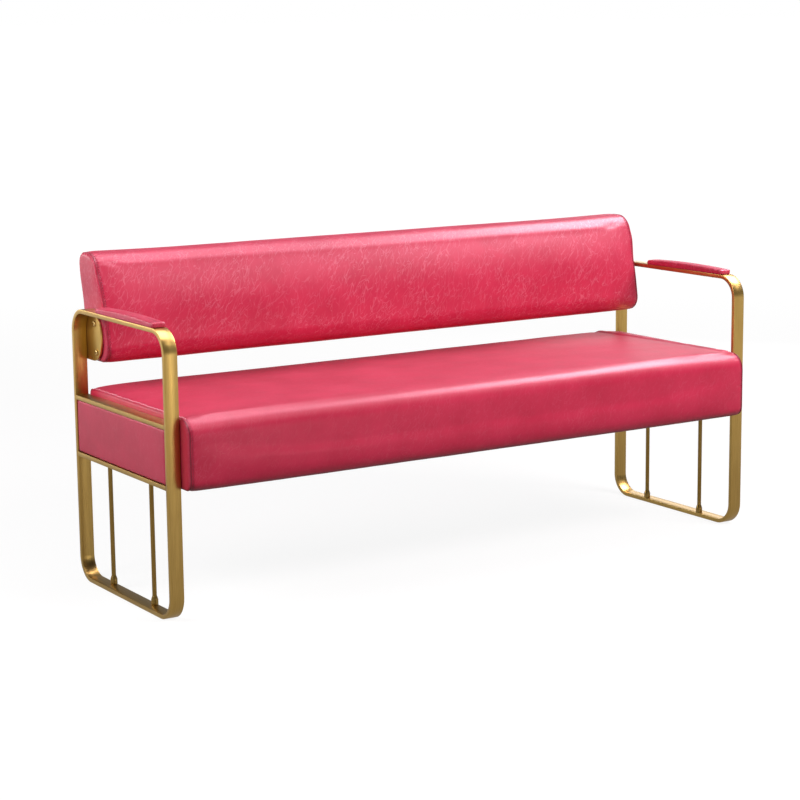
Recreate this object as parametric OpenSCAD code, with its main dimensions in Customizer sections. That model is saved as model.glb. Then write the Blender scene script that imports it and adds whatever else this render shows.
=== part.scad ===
// Three-seat waiting bench. Two closed side frames of bent flat bar carry an upholstered seat box and a
// leaning upholstered backrest between them. Millimetres, +Z up; the sitter faces -Y. The origin is on the
// floor under the middle of the footprint.

/* [Side frames] */
// Length of the bench over both side frames
bench_len = 1600; // [1300:10:2000]
// Height of the armrest bar's top above the backrest's underside
arm_rise = 121; // [100:1:150]
// Depth of a side frame, front to back
loop_depth = 475; // [450:1:520]
// Width of the flat bar, across the bench
bar_w = 32; // [28:1:45]
// Thickness of the flat bar
bar_t = 10; // [8:0.5:12]
// Outer radius of the frame's four bends
bend_r = 55; // [30:1:65]
// Distance from the upper rail's top up to the seat's end seam
upper_rail_step = 13; // [5:1:30]
// Height of the lower rail's top above the floor
lower_rail_h = 301; // [240:1:340]
// Thickness of both rails
rail_t = 10; // [6:0.5:14]
// Diameter of the upright rods
rod_d = 10; // [7:0.5:13]
// Distance between the two rods of a side frame
rod_pitch = 212; // [150:2:280]
// Diameter of the collar at a rod's foot
collar_d = 16; // [15:0.5:20]
// Height of the collar
collar_h = 20; // [14:1:30]
// Height of the collar's tapered top
collar_taper_h = 7; // [3:1:10]
// Thickness of the plate welded between the rails
mount_plate_t = 4; // [3:0.5:5]

/* [Back brackets] */
// Thickness of the bracket plate
bracket_t = 5; // [4:0.5:6]
// Gap between the bracket plate and the armrest bar above it
bracket_gap = 4; // [2:0.5:10]
// Depth of the bracket plate, front to back
bracket_w = 88.5; // [76:0.5:100]
// Distance of the back bolts from the plate's curved edge
bracket_lip = 27; // [20:1:32]

/* [Seat] */
// How far the seat's front stands before the side frames
front_overhang = 46.5; // [30:0.5:70]
// Distance from the lower rail's top down to the seat's underside
seat_sink = 7; // [2:0.5:12]
// Height of the seat at its end seams
seat_h = 152; // [126:1:180]
// Gap between the seat's rear and the rear posts' front
seat_rear_gap = 0.5; // [0:0.5:10]
// Radius along the seat's upper front edge
seat_front_r = 38; // [20:1:50]
// Radius along the seat's upper rear edge
seat_rear_r = 12; // [6:1:20]
// Radius along the seat's lower front edge
seat_low_front_r = 22; // [8:1:24]
// Radius along the seat's lower rear edge
seat_low_r = 8; // [4:1:12]
// Rise of the seat's upper edges from the end seams to the middle
seat_lift = 4; // [0:0.5:8]
// Crown of the seat's top between its front and rear edges
seat_crown = 4; // [0:0.5:8]
// Swell of the seat's front from the end seams to the middle
seat_front_swell = 6; // [2:0.5:10]
// Swell of the seat's rear face
seat_rear_swell = 1.5; // [0:0.5:3]
// Depth of the seat's end panels
seat_end_t = 4.7; // [3:0.1:8]
// Distance from a seam over which the seat fills out
seat_fill_len = 260; // [150:10:400]

/* [Backrest] */
// How far the backrest stands behind the side frames
back_overhang = 30.5; // [24:0.5:45]
// Gap between the seat's end seam and the backrest's underside
back_gap = 68; // [50:1:90]
// Height of the backrest at its end seams
back_h = 243; // [200:1:290]
// Thickness of the backrest at its foot
back_foot_t = 124.5; // [116:0.5:130]
// Lean of the backrest's rear face
back_rear_lean = 6.2; // [3:0.1:8]
// Lean of the backrest's front face
back_front_lean = 15.9; // [11:0.1:17]
// Radius along the backrest's upper front edge
back_front_r = 45; // [25:1:50]
// Radius along the backrest's lower front edge
back_low_front_r = 34; // [12:1:40]
// Radius along the backrest's two rear edges
back_rear_r = 20; // [8:1:25]
// Rise of the backrest's top from the end seams to the middle
back_lift = 3; // [0:0.5:6]
// Bow of the backrest's front at its end seams
back_front_bow = 7; // [0:0.5:10]
// Further swell of the backrest's front in the middle
back_front_swell = 5; // [0:0.5:8]
// Swell of the backrest's rear face
back_rear_swell = 2; // [0:0.5:4]
// Depth of the backrest's end panels
back_end_t = 6.2; // [4:0.1:9]
// Distance from a seam over which the backrest fills out
back_fill_len = 220; // [120:10:400]

/* [Armrest pads] */
// Length of an armrest pad
arm_pad_len = 294.5; // [240:0.5:320]
// Distance from the side frame's front to the pad's front
arm_pad_inset = 51; // [30:0.5:65]
// Height of an armrest pad above the bar
arm_pad_h = 12.5; // [11:0.5:20]
// How far the pad reaches over the bar's inner edge
arm_pad_lap = 1; // [0:0.5:3]
// Radius of the pad's upper edges
arm_pad_r = 3; // [1.5:0.5:3.5]
// Thickness of the pad's board
arm_board_t = 6; // [4:0.5:7]
// Diameter of the pad's screws
arm_screw_d = 4; // [3:0.5:5]
// Distance between the pad's two screws
arm_screw_pitch = 200; // [120:5:220]

/* [Side panels] */
// Gap between a side panel and the rails
panel_gap = 1; // [0.5:0.25:3]
// Gap between a side panel and the posts
panel_end_gap = 2; // [1:0.5:4]
// How far the panel's crown lies inside the bar's outer face
panel_recess = 0.5; // [0.3:0.1:2]
// Crown of the panel's face
panel_crown = 2; // [0.5:0.5:3]
// Thickness of the panel's board
side_board_t = 9; // [6:0.5:10]
// Thickness of the panel's foam
side_foam_t = 6; // [4:0.5:7]
// Distance of the panel's clips from its edges
clip_margin = 20; // [14:0.5:26]
// Diameter of a clip's stem
clip_d = 8; // [5:0.5:9]

/* [Upholstery and timber] */
// Thickness of the leather cover
skin_t = 1.5; // [1:0.1:2]
// Least thickness of a cover with its wadding
wad_t = 3; // [2:0.5:4]
// How far a seam is drawn in
seam_draw = 1.5; // [0.5:0.25:2.5]
// Thickness of the end boards
end_board_t = 18; // [15:1:22]
// Foam over the seat's end boards
end_board_foam_t = 37.5; // [20:0.5:45]
// Thickness of the seat's and backrest's rails
rail_wood_t = 25; // [18:1:32]
// Height of the seat's rails
seat_rail_h = 60; // [50:1:66]
// Thickness of the seat deck
deck_t = 12; // [9:1:18]
// Distance between the seat's cross battens
batten_pitch = 370; // [250:5:440]
// Foam in front of the seat's front rail
apron_t = 20; // [12:1:30]
// Leather turned under the seat
turn_under = 30; // [20:1:50]
// Thickness of the dust cover
dust_cover_t = 0.8; // [0.5:0.1:1.2]
// Thickness of the backrest's board
back_board_t = 12; // [9:1:15]
// Height of the backrest's rails
back_rail_h = 40; // [30:1:60]

/* [Fasteners] */
// Diameter of the bolts that hold the seat and the backrest
bolt_d = 8; // [6:0.5:9]
// Length of the seat bolts
seat_bolt_len = 36; // [34:0.5:38]
// Length of the back bolts
back_bolt_len = 38; // [35:0.5:40]
// Distance between the seat bolts, front to back
seat_bolt_pitch_y = 300; // [220:2:330]
// Distance from the deck's top up to the upper seat bolts
seat_bolt_over_deck = 11.5; // [11:0.5:16]
// Distance from the deck's underside down to the lower seat bolts
seat_bolt_under_deck = 30; // [20:0.5:36]
// Diameter of the wood screws
screw_d = 4; // [3:0.5:5]
// Length of the wood screws
screw_len = 48; // [35:1:56]

/* [Hidden] */
// All cuts run past the surfaces that they open by this much
overrun = 1;
// Clear space round a shank in its hole
fit_gap = 0.05;
// Clear space round a bolt in a plate
bolt_gap = 0.25;
// Soft faces stay this far off the metal that they lie against
soft_gap = 0.3;
// Facets of the round faces
round_fn = 64;

// Heights, stacked from the floor
seat_bottom_h = lower_rail_h - seat_sink;
seat_edge_h = seat_bottom_h + seat_h;
upper_rail_h = seat_edge_h - upper_rail_step;
back_bottom_h = seat_edge_h + back_gap;
back_edge_h = back_bottom_h + back_h;
loop_h = back_bottom_h + arm_rise;

// Places across the bench
half_len = bench_len / 2;
inner_x = half_len - bar_w;
bar_mid_x = half_len - bar_w / 2;
rod_x = inner_x + collar_d / 2;
seat_seam_x = inner_x - soft_gap - seat_end_t;
back_seam_x = inner_x - bracket_t - soft_gap - back_end_t;
plate_out_x = inner_x + mount_plate_t;

// Places from front to back
overall_d = front_overhang + loop_depth + back_overhang;
front_y = -overall_d / 2;
rear_y = overall_d / 2;
loop_front = front_y + front_overhang;
loop_back = loop_front + loop_depth;
loop_mid = (loop_front + loop_back) / 2;
post_front = loop_front + bar_t;
post_back = loop_back - bar_t;
rod_ys = [loop_mid - rod_pitch / 2, loop_mid + rod_pitch / 2];

// The seat's section at its end seams, and the space inside its cover
seat_front_y = front_y + seat_front_swell;
seat_rear_y = post_back - seat_rear_gap;
core_front = seat_front_y + wad_t;
core_rear = seat_rear_y - wad_t;
core_low = seat_bottom_h + skin_t;
core_high = seat_edge_h - wad_t;
box_front = core_front + apron_t;
deck_low = core_low + seat_rail_h;
deck_high = deck_low + deck_t;
end_board_top = core_high - end_board_foam_t;
board_in_x = seat_seam_x - end_board_t;
seat_front_swell_share = 0.3;

// The backrest's section at its end seams
back_rear_slack = back_rear_r * (tan(back_rear_lean) + 1 / cos(back_rear_lean) - 1);
back_rear_top = rear_y + back_rear_slack - back_lift * tan(back_rear_lean);
back_rear_foot = back_rear_top - back_h * tan(back_rear_lean);
back_front_foot = back_rear_foot - back_foot_t;
back_board_in_x = back_seam_x - end_board_t;

// Bolts, threaded inserts and screws
bolt_head_d_share = 1.75;
bolt_head_h_share = 0.55;
socket_d_share = 0.7;
socket_depth_share = 0.5;
bracket_r_share = 0.42;
back_bolt_share = 0.61;
nut_barrel_d = 10;
nut_barrel_l = 12;
nut_flange_d = 19;
nut_flange_t = 1.5;
nut_room = 10;
nut_pocket_gap = 1;
nut_pocket_d = nut_flange_d + 2 * nut_pocket_gap;
screw_head_d_share = 2;
screw_head_h_share = 0.6;
seat_bolt_ys = [loop_mid - seat_bolt_pitch_y / 2, loop_mid + seat_bolt_pitch_y / 2];
seat_bolt_zs = [deck_low - seat_bolt_under_deck, deck_high + seat_bolt_over_deck];
seat_bolt_places = [for (y = seat_bolt_ys, z = seat_bolt_zs) [y, z]];
bracket_h = arm_rise - bar_t - bracket_gap;
bracket_r = bracket_h * bracket_r_share;
bracket_front = loop_back - bracket_w;
bracket_mid = [bracket_front + bracket_lip, back_bottom_h + bracket_h / 2];
back_bolt_step = [sin(back_rear_lean), cos(back_rear_lean)] * bracket_h * back_bolt_share / 2;
back_bolt_places = [bracket_mid - back_bolt_step, bracket_mid + back_bolt_step];

// Side panel, from the bar's outer face inwards
panel_face_x = half_len - panel_recess;
panel_edge_x = panel_face_x - panel_crown;
side_foam_x = panel_edge_x - skin_t;
side_board_x = side_foam_x - side_foam_t;
panel_back_x = side_board_x - side_board_t;
panel_low = [post_front + panel_end_gap, lower_rail_h + panel_gap];
panel_high = [post_back - panel_end_gap, upper_rail_h - rail_t - panel_gap];
panel_corner_r = 5;
clip_head_d = 16;
clip_head_t = 1.5;
clip_places = [for (y = [panel_low.x + clip_margin, panel_high.x - clip_margin],
                    z = [panel_low.y + clip_margin, panel_high.y - clip_margin]) [y, z]];

// Armrest pad
pad_low = [inner_x - arm_pad_lap, loop_front + arm_pad_inset];
pad_high = [half_len, loop_front + arm_pad_inset + arm_pad_len];
pad_mid_y = (pad_low.y + pad_high.y) / 2;
pad_corner_r = 6;
pad_crown = 0.6;
arm_screw_ys = [pad_mid_y - arm_screw_pitch / 2, pad_mid_y + arm_screw_pitch / 2];

// Screws of the seat box: height shares of a rail, and length shares of the deck
rail_screw_shares = [0.28, 0.72];
deck_screw_shares = [-0.8, -0.27, 0.27, 0.8];
batten_xs = [-batten_pitch, 0, batten_pitch];

// Rings of a cushion: shares of the filling length or of the end panel's depth, then shares of the draw
fill_shares = [0, 0.01, 0.03, 0.08, 0.2, 0.4, 0.7, 1];
fill_draw_shares = [1, 0.4, 0.12, 0, 0, 0, 0, 0];
end_shares = [[0, 0], [0.45, 0.12], [0.8, 0.45], [1, 1.1]];
face_shares = [[0, 0], [0.1, 0.25], [0.45, 1.2], [0.8, 5], [0.95, 12], [1, 24]];

// Turns of an armrest pad's upper edge
pad_turns = [0, 25, 50, 75, 90];

gold = "#B4915A";
bright_gold = "#D9BC7E";
leather = "#C9375A";
ply = "#C9A26B";
pine = "#E0BE85";
sponge = "#EAD9A0";
zinc = "#B9BDC2";
black_cloth = "#26262A";
nylon = "#3A3A3C";

// Direction and outlines. An outline lists the corners of a convex section anticlockwise.

function unit(v) = v / norm(v);
function left_of(v) = [-v.y, v.x];
function way_in(corners, i) = unit(corners[i] - corners[(i + len(corners) - 1) % len(corners)]);
function way_out(corners, i) = unit(corners[(i + 1) % len(corners)] - corners[i]);
function bisector(corners, i) =
    let (a = left_of(way_in(corners, i)), b = left_of(way_out(corners, i))) (a + b) / (1 + a * b);
function inset_corners(corners, d) = [for (i = [0 : len(corners) - 1]) corners[i] + d * bisector(corners, i)];

// Points of the arc that rounds corner i
function corner_arc(corners, i, r, steps) =
    let (a = -left_of(way_in(corners, i)),
         turn = acos(way_in(corners, i) * way_out(corners, i)),
         start = atan2(a.y, a.x),
         middle = corners[i] + r * bisector(corners, i))
    [for (s = [0 : steps]) middle + r * [cos(start + turn * s / steps), sin(start + turn * s / steps)]];

// Points between two arcs, bowed outwards by the swell
function bowed_run(from, to, swell, steps) =
    let (out = -left_of(unit(to - from)))
    [for (s = [1 : steps - 1]) from + (to - from) * s / steps + out * swell * sin(180 * s / steps)];

function soft_outline(corners, radii, swells, arc_steps, run_steps) =
    let (n = len(corners), arcs = [for (i = [0 : n - 1]) corner_arc(corners, i, radii[i], arc_steps[i])])
    [for (i = [0 : n - 1])
        let (from = arcs[i][arc_steps[i]], to = arcs[(i + 1) % n][0])
        each concat(arcs[i], bowed_run(from, to, swells[i], run_steps[i]))];

function box_corners(low, high) = [low, [high.x, low.y], high, [low.x, high.y]];

// A closed solid through rings of points, each ring at its own height, with a fan on both ends
module ringed_solid(rings, heights) {
    n = len(rings[0]);
    last = len(rings) - 1;
    points = [for (k = [0 : last], p = rings[k]) [p.x, p.y, heights[k]]];
    function centre(ring) = [for (axis = [0, 1]) [for (p = ring) p[axis]] * [for (p = ring) 1] / n];
    ends = [concat(centre(rings[0]), heights[0]), concat(centre(rings[last]), heights[last])];
    sides = [for (k = [0 : last - 1], i = [0 : n - 1])
        let (a = k * n + i, b = k * n + (i + 1) % n)
        each [[a, a + n, b + n], [a, b + n, b]]];
    low_fan = [for (i = [0 : n - 1]) [(last + 1) * n, i, (i + 1) % n]];
    high_fan = [for (i = [0 : n - 1]) [(last + 1) * n + 1, last * n + (i + 1) % n, last * n + i]];
    polyhedron(concat(points, ends), concat(sides, low_fan, high_fan));
}

// Frames of reference. Side pieces are drawn for the right end and mirrored for the left one.

module on_side(side) {
    mirror([side < 0 ? 1 : 0, 0, 0]) children();
}

// Turns a section drawn in (Y, Z) so that its height runs along X
module along_x(from_x) {
    translate([from_x, 0, 0]) rotate([90, 0, 90]) children();
}

module prism_x(from_x, to_x) {
    along_x(from_x) linear_extrude(to_x - from_x) children();
}

module slab(low, high) {
    translate(low) cube(high - low);
}

module rod_x_way(from_x, to_x, d, place) {
    along_x(from_x) translate(place) cylinder(d = d, h = to_x - from_x, $fn = round_fn);
}

module rounded_rect(low, high, r) {
    size = high - low;
    translate([low.x + r, low.y]) square([size.x - 2 * r, size.y]);
    translate([low.x, low.y + r]) square([size.x, size.y - 2 * r]);
    for (x = [low.x + r, high.x - r], y = [low.y + r, high.y - r])
        translate([x, y]) circle(r, $fn = round_fn);
}

// Side frame

module loop_outline() {
    rounded_rect([loop_front, 0], [loop_back, loop_h], bend_r);
}

module side_loop() {
    color(gold) difference() {
        prism_x(inner_x, half_len) difference() {
            loop_outline();
            rounded_rect([post_front, bar_t], [post_back, loop_h - bar_t], bend_r - bar_t);
        }
        for (y = arm_screw_ys)
            translate([bar_mid_x, y, loop_h - bar_t - overrun])
                cylinder(d = arm_screw_d + 2 * bolt_gap, h = bar_t + 2 * overrun, $fn = round_fn);
    }
}

module side_rail(top_h) {
    color(gold) slab([inner_x, post_front, top_h - rail_t], [half_len, post_back, top_h]);
}

module side_rod(y) {
    color(gold) translate([rod_x, y, bar_t])
        cylinder(d = rod_d, h = lower_rail_h - rail_t - bar_t, $fn = round_fn);
}

module rod_collar(y) {
    bore = rod_d / 2 + fit_gap;
    lip = bore + fit_gap;
    color(gold) translate([rod_x, y, bar_t]) rotate_extrude($fn = round_fn)
        polygon([[bore, 0], [collar_d / 2, 0], [collar_d / 2, collar_h - collar_taper_h], [lip, collar_h],
                 [bore, collar_h]]);
}

module mount_plate() {
    color(gold) difference() {
        slab([inner_x, post_front, lower_rail_h], [plate_out_x, post_back, upper_rail_h - rail_t]);
        for (place = seat_bolt_places)
            rod_x_way(inner_x - overrun, plate_out_x + overrun, bolt_d + 2 * bolt_gap, place);
        for (place = clip_places)
            rod_x_way(inner_x - overrun, plate_out_x + overrun, clip_d + 2 * fit_gap, place);
    }
}

module back_bracket() {
    color(gold) difference() {
        prism_x(inner_x - bracket_t, inner_x) intersection() {
            loop_outline();
            union() {
                translate([bracket_front + bracket_r, back_bottom_h])
                    square([loop_back - bracket_front - bracket_r, bracket_h]);
                translate([bracket_front, back_bottom_h + bracket_r])
                    square([loop_back - bracket_front, bracket_h - 2 * bracket_r]);
                for (z = [back_bottom_h + bracket_r, back_bottom_h + bracket_h - bracket_r])
                    translate([bracket_front + bracket_r, z]) circle(bracket_r, $fn = round_fn);
            }
        }
        for (place = back_bolt_places)
            rod_x_way(inner_x - bracket_t - overrun, inner_x + overrun, bolt_d + 2 * bolt_gap, place);
    }
}

// Fasteners

module button_bolt(under_head_x, length, place) {
    head_h = bolt_d * bolt_head_h_share;
    color(bright_gold) difference() {
        union() {
            rod_x_way(under_head_x - length, under_head_x + head_h / 2, bolt_d, place);
            rod_x_way(under_head_x, under_head_x + head_h, bolt_d * bolt_head_d_share, place);
        }
        along_x(under_head_x + head_h * (1 - socket_depth_share)) translate(place)
            cylinder(d = bolt_d * socket_d_share, h = head_h, $fn = 6);
    }
}

// A flanged nut with a barrel, pressed into a board from its inner face
module flange_nut(board_x, place) {
    color(zinc) difference() {
        union() {
            rod_x_way(board_x - nut_flange_t, board_x, nut_flange_d, place);
            rod_x_way(board_x - nut_flange_t / 2, board_x + nut_barrel_l, nut_barrel_d, place);
        }
        rod_x_way(board_x - nut_flange_t - overrun, board_x + nut_barrel_l + overrun,
            bolt_d + 2 * fit_gap, place);
    }
}

// What a bolt and its flange nut need cut out of a board
module nut_cut(board_x, place) {
    rod_x_way(board_x - overrun, board_x + nut_barrel_l, nut_barrel_d + 2 * fit_gap, place);
    rod_x_way(board_x, board_x + end_board_t + overrun, bolt_d + 2 * bolt_gap, place);
}

// A wood screw along X with its head flush with the end board's outer face, and the hole it needs
module end_screw(face_x, place, gap = 0) {
    head_h = screw_d * screw_head_h_share;
    rod_x_way(face_x - head_h - gap, face_x + (gap > 0 ? overrun : 0),
        screw_d * screw_head_d_share + 2 * gap, place);
    rod_x_way(face_x - screw_len - gap, face_x - head_h / 2, screw_d + 2 * gap, place);
}

module deck_screw(place, gap = 0) {
    head_h = screw_d * screw_head_h_share;
    translate([place.x, place.y, deck_high - head_h - gap])
        cylinder(d = screw_d * screw_head_d_share + 2 * gap, h = head_h + gap + (gap > 0 ? overrun : 0),
            $fn = round_fn);
    translate([place.x, place.y, deck_high - screw_len - gap])
        cylinder(d = screw_d + 2 * gap, h = screw_len - head_h / 2 + gap, $fn = round_fn);
}

rail_mid_ys = [box_front + rail_wood_t / 2, core_rear - rail_wood_t / 2];
seat_screw_places = [for (y = rail_mid_ys, share = rail_screw_shares) [y, core_low + share * seat_rail_h]];
deck_screw_places = concat(
    [for (y = rail_mid_ys, share = deck_screw_shares) [share * board_in_x, y]],
    [for (x = batten_xs) [x, (box_front + core_rear) / 2]]);

// Side panel: board, foam and padded cover, pushed into the mount plate by clips

module panel_filling() {
    rounded_rect(panel_low + [skin_t, skin_t], panel_high - [skin_t, skin_t], panel_corner_r - skin_t);
}

module side_board() {
    color(ply) prism_x(panel_back_x, side_board_x) panel_filling();
}

module side_foam() {
    color(sponge) prism_x(side_board_x, side_foam_x) panel_filling();
}

module side_cover() {
    corners = box_corners(panel_low, panel_high);
    radii = [for (c = corners) panel_corner_r];
    face_rings = [for (share = face_shares)
        soft_outline(inset_corners(corners, share[1] * panel_crown), radii, [0, 0, 0, 0], [3, 3, 3, 3],
            [8, 3, 8, 3])];
    color(leather) difference() {
        along_x(0) ringed_solid(
            concat([face_rings[0]], face_rings),
            concat([panel_back_x], [for (share = face_shares) panel_edge_x + share[0] * panel_crown]));
        prism_x(panel_back_x - overrun, side_foam_x) panel_filling();
    }
}

module panel_clip(place) {
    color(nylon) {
        rod_x_way(inner_x, panel_back_x - clip_head_t / 2, clip_d, place);
        rod_x_way(panel_back_x - clip_head_t, panel_back_x, clip_head_d, place);
    }
}

// Armrest pad: board, foam and padded cover, screwed on from under the bar

module pad_slab(low_h, high_h) {
    translate([0, 0, low_h]) linear_extrude(high_h - low_h)
        rounded_rect(pad_low + [skin_t, skin_t], pad_high - [skin_t, skin_t], pad_corner_r - skin_t);
}

module arm_board() {
    color(ply) difference() {
        pad_slab(loop_h, loop_h + arm_board_t);
        for (y = arm_screw_ys)
            translate([bar_mid_x, y, loop_h - overrun])
                cylinder(d = arm_screw_d + 2 * fit_gap, h = arm_board_t + overrun - skin_t / 2,
                    $fn = round_fn);
    }
}

module arm_foam() {
    color(sponge) pad_slab(loop_h + arm_board_t, loop_h + arm_pad_h - pad_crown - skin_t);
}

module arm_cover() {
    corners = box_corners(pad_low, pad_high);
    edge_h = loop_h + arm_pad_h - pad_crown;
    function ring(inset) =
        soft_outline(inset_corners(corners, inset), [for (c = corners) pad_corner_r - inset / 2],
            [0, 0, 0, 0], [4, 4, 4, 4], [3, 8, 3, 8]);
    color(leather) difference() {
        ringed_solid(
            concat([ring(0)], [for (a = pad_turns) ring(arm_pad_r * (1 - cos(a)))], [ring(2 * arm_pad_r)]),
            concat([loop_h], [for (a = pad_turns) edge_h - arm_pad_r * (1 - sin(a))], [loop_h + arm_pad_h]));
        pad_slab(loop_h - overrun, edge_h - skin_t);
    }
}

module arm_screw(y) {
    head_h = arm_screw_d * screw_head_h_share;
    color(zinc) translate([bar_mid_x, y, loop_h - bar_t]) {
        translate([0, 0, -head_h]) cylinder(d = arm_screw_d * screw_head_d_share, h = head_h, $fn = round_fn);
        translate([0, 0, -head_h / 2])
            cylinder(d = arm_screw_d, h = head_h / 2 + bar_t + arm_board_t - skin_t, $fn = round_fn);
    }
}

// Seat

function seat_corners(fill) =
    box_corners([seat_front_y - fill * seat_front_swell * (1 - seat_front_swell_share), seat_bottom_h],
                [seat_rear_y, seat_edge_h + fill * seat_lift]);
seat_radii = [seat_low_front_r, seat_low_r, seat_rear_r, seat_front_r];

function seat_ring(inset, fill) =
    soft_outline(inset_corners(seat_corners(fill), inset), seat_radii,
        [0, seat_rear_swell * fill, seat_crown * fill, seat_front_swell * seat_front_swell_share * fill],
        [6, 3, 4, 8], [2, 3, 6, 4]);

function fill_at(share) = sin(90 * share);
function sleeve_shares() = [for (k = [0 : len(fill_shares) - 1]) [fill_shares[k], fill_draw_shares[k]]];
function backwards(list) = [for (k = [len(list) - 1 : -1 : 0]) list[k]];

module seat_core(from_x, to_x) {
    prism_x(from_x, to_x) polygon(soft_outline(
        box_corners([core_front, core_low], [core_rear, core_high]),
        [for (r = seat_radii) max(r - wad_t, wad_t)], [0, 0, 0, 0], [6, 3, 4, 8], [1, 1, 1, 1]));
}

module seat_cover() {
    half = [for (s = sleeve_shares()) seat_ring(s[1] * seam_draw, fill_at(s[0]))];
    half_x = [for (s = sleeve_shares()) seat_seam_x - s[0] * seat_fill_len];
    color(leather) difference() {
        along_x(0) ringed_solid(
            concat(half, backwards(half)),
            concat([for (x = half_x) -x], backwards(half_x)));
        seat_core(-half_len, half_len);
        slab([turn_under - seat_seam_x, core_front + turn_under, seat_bottom_h - overrun],
             [seat_seam_x - turn_under, core_rear - turn_under, core_low + overrun]);
    }
}

module end_panel_form(rings, seam_x, depth) {
    along_x(0) ringed_solid(rings, [for (share = end_shares) seam_x + share[0] * depth]);
}

module seat_end_panel() {
    color(leather) difference() {
        end_panel_form([for (share = end_shares) seat_ring(seam_draw + share[1] * seat_end_t, 0)],
            seat_seam_x, seat_end_t);
        for (place = seat_bolt_places)
            rod_x_way(seat_seam_x - overrun, inner_x, bolt_d + 2 * bolt_gap, place);
    }
}

module seat_end_board() {
    color(ply) difference() {
        slab([board_in_x, box_front, core_low], [seat_seam_x, core_rear, end_board_top]);
        for (place = seat_bolt_places) nut_cut(board_in_x, place);
        for (place = seat_screw_places) end_screw(seat_seam_x, place, fit_gap);
    }
}

module seat_rail(low_y) {
    color(pine) difference() {
        slab([-board_in_x, low_y, core_low], [board_in_x, low_y + rail_wood_t, deck_low]);
        for (side = [-1, 1], place = seat_screw_places) on_side(side) end_screw(seat_seam_x, place, fit_gap);
        for (place = deck_screw_places) deck_screw(place, fit_gap);
    }
}

module seat_batten(x) {
    color(pine) difference() {
        slab([x - rail_wood_t / 2, box_front + rail_wood_t, core_low],
             [x + rail_wood_t / 2, core_rear - rail_wood_t, deck_low]);
        for (place = deck_screw_places) deck_screw(place, fit_gap);
    }
}

module seat_deck() {
    color(ply) difference() {
        slab([-board_in_x, box_front, deck_low], [board_in_x, core_rear, deck_high]);
        for (place = deck_screw_places) deck_screw(place, fit_gap);
    }
}

module seat_foam() {
    color(sponge) difference() {
        seat_core(-seat_seam_x, seat_seam_x);
        slab([-half_len, box_front, core_low - overrun], [half_len, core_rear + overrun, deck_high]);
        for (side = [-1, 1]) on_side(side) {
            slab([board_in_x, box_front, core_low], [half_len, core_rear + overrun, end_board_top]);
            for (place = seat_bolt_places)
                rod_x_way(board_in_x - nut_room, board_in_x + overrun, nut_pocket_d, place);
        }
    }
}

module seat_dust_cover() {
    color(black_cloth) slab(
        [turn_under / 2 - seat_seam_x, core_front + turn_under / 2, seat_bottom_h - dust_cover_t],
        [seat_seam_x - turn_under / 2, core_rear - turn_under / 2, seat_bottom_h]);
}

// Backrest

function back_corners(fill) =
    let (lift = fill * back_lift)
    [[back_front_foot, back_bottom_h],
     [back_rear_foot, back_bottom_h],
     [back_rear_top + lift * tan(back_rear_lean), back_edge_h + lift],
     [back_front_foot + (back_h + lift) * tan(back_front_lean), back_edge_h + lift]];
back_radii = [back_low_front_r, back_rear_r, back_rear_r, back_front_r];

function back_ring(inset, fill) =
    soft_outline(inset_corners(back_corners(fill), inset), back_radii,
        [0, back_rear_swell * fill, 0, back_front_bow + back_front_swell * fill],
        [5, 4, 4, 8], [2, 4, 2, 6]);

module back_core(from_x, to_x) {
    prism_x(from_x, to_x) polygon(soft_outline(
        inset_corners(back_corners(0), wad_t), [for (r = back_radii) r - wad_t],
        [0, 0, 0, back_front_bow], [5, 4, 4, 8], [1, 1, 1, 6]));
}

// The strip of the section that lies behind a depth measured from the core's rear face
module back_strip(depth, low, high) {
    foot = inset_corners(back_corners(0), wad_t)[1];
    translate(foot) rotate(-back_rear_lean) translate([-depth, low]) square([2 * depth, high - low]);
}

back_core_rise = (back_h - 2 * wad_t) / cos(back_rear_lean);

module back_cover() {
    half = [for (s = sleeve_shares()) back_ring(s[1] * seam_draw, fill_at(s[0]))];
    half_x = [for (s = sleeve_shares()) back_seam_x - s[0] * back_fill_len];
    color(leather) difference() {
        along_x(0) ringed_solid(
            concat(half, backwards(half)),
            concat([for (x = half_x) -x], backwards(half_x)));
        back_core(-half_len, half_len);
    }
}

module back_end_panel() {
    color(leather) difference() {
        end_panel_form([for (share = end_shares) back_ring(seam_draw + share[1] * back_end_t, 0)],
            back_seam_x, back_end_t);
        for (place = back_bolt_places)
            rod_x_way(back_seam_x - overrun, inner_x, bolt_d + 2 * bolt_gap, place);
    }
}

// A rail of the backrest fills the corner between the board and the foam, low or high in the section
module back_rail_section(low) {
    foot = inset_corners(back_corners(0), wad_t)[1];
    translate(foot) rotate(-back_rear_lean)
        translate([-back_board_t - rail_wood_t, low]) square([rail_wood_t, back_rail_h]);
}

back_rail_lows = [back_rear_r, back_core_rise - back_rear_r - back_rail_h];
function on_lean(depth, height) =
    let (foot = inset_corners(back_corners(0), wad_t)[1])
    foot + height * [sin(back_rear_lean), cos(back_rear_lean)]
         - depth * [cos(back_rear_lean), -sin(back_rear_lean)];
back_screw_places = [for (low = back_rail_lows)
    on_lean(back_board_t + rail_wood_t / 2, low + back_rail_h / 2)];

module back_end_board() {
    color(ply) difference() {
        back_core(back_board_in_x, back_seam_x);
        for (place = back_bolt_places) nut_cut(back_board_in_x, place);
        for (place = back_screw_places) end_screw(back_seam_x, place, fit_gap);
    }
}

module back_board() {
    color(ply) intersection() {
        back_core(-back_board_in_x, back_board_in_x);
        prism_x(-back_board_in_x, back_board_in_x)
            back_strip(back_board_t, back_rear_r / 2, back_core_rise - back_rear_r / 2);
    }
}

module back_rail(low) {
    color(pine) difference() {
        prism_x(-back_board_in_x, back_board_in_x) back_rail_section(low);
        for (side = [-1, 1], place = back_screw_places) on_side(side) end_screw(back_seam_x, place, fit_gap);
    }
}

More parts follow.
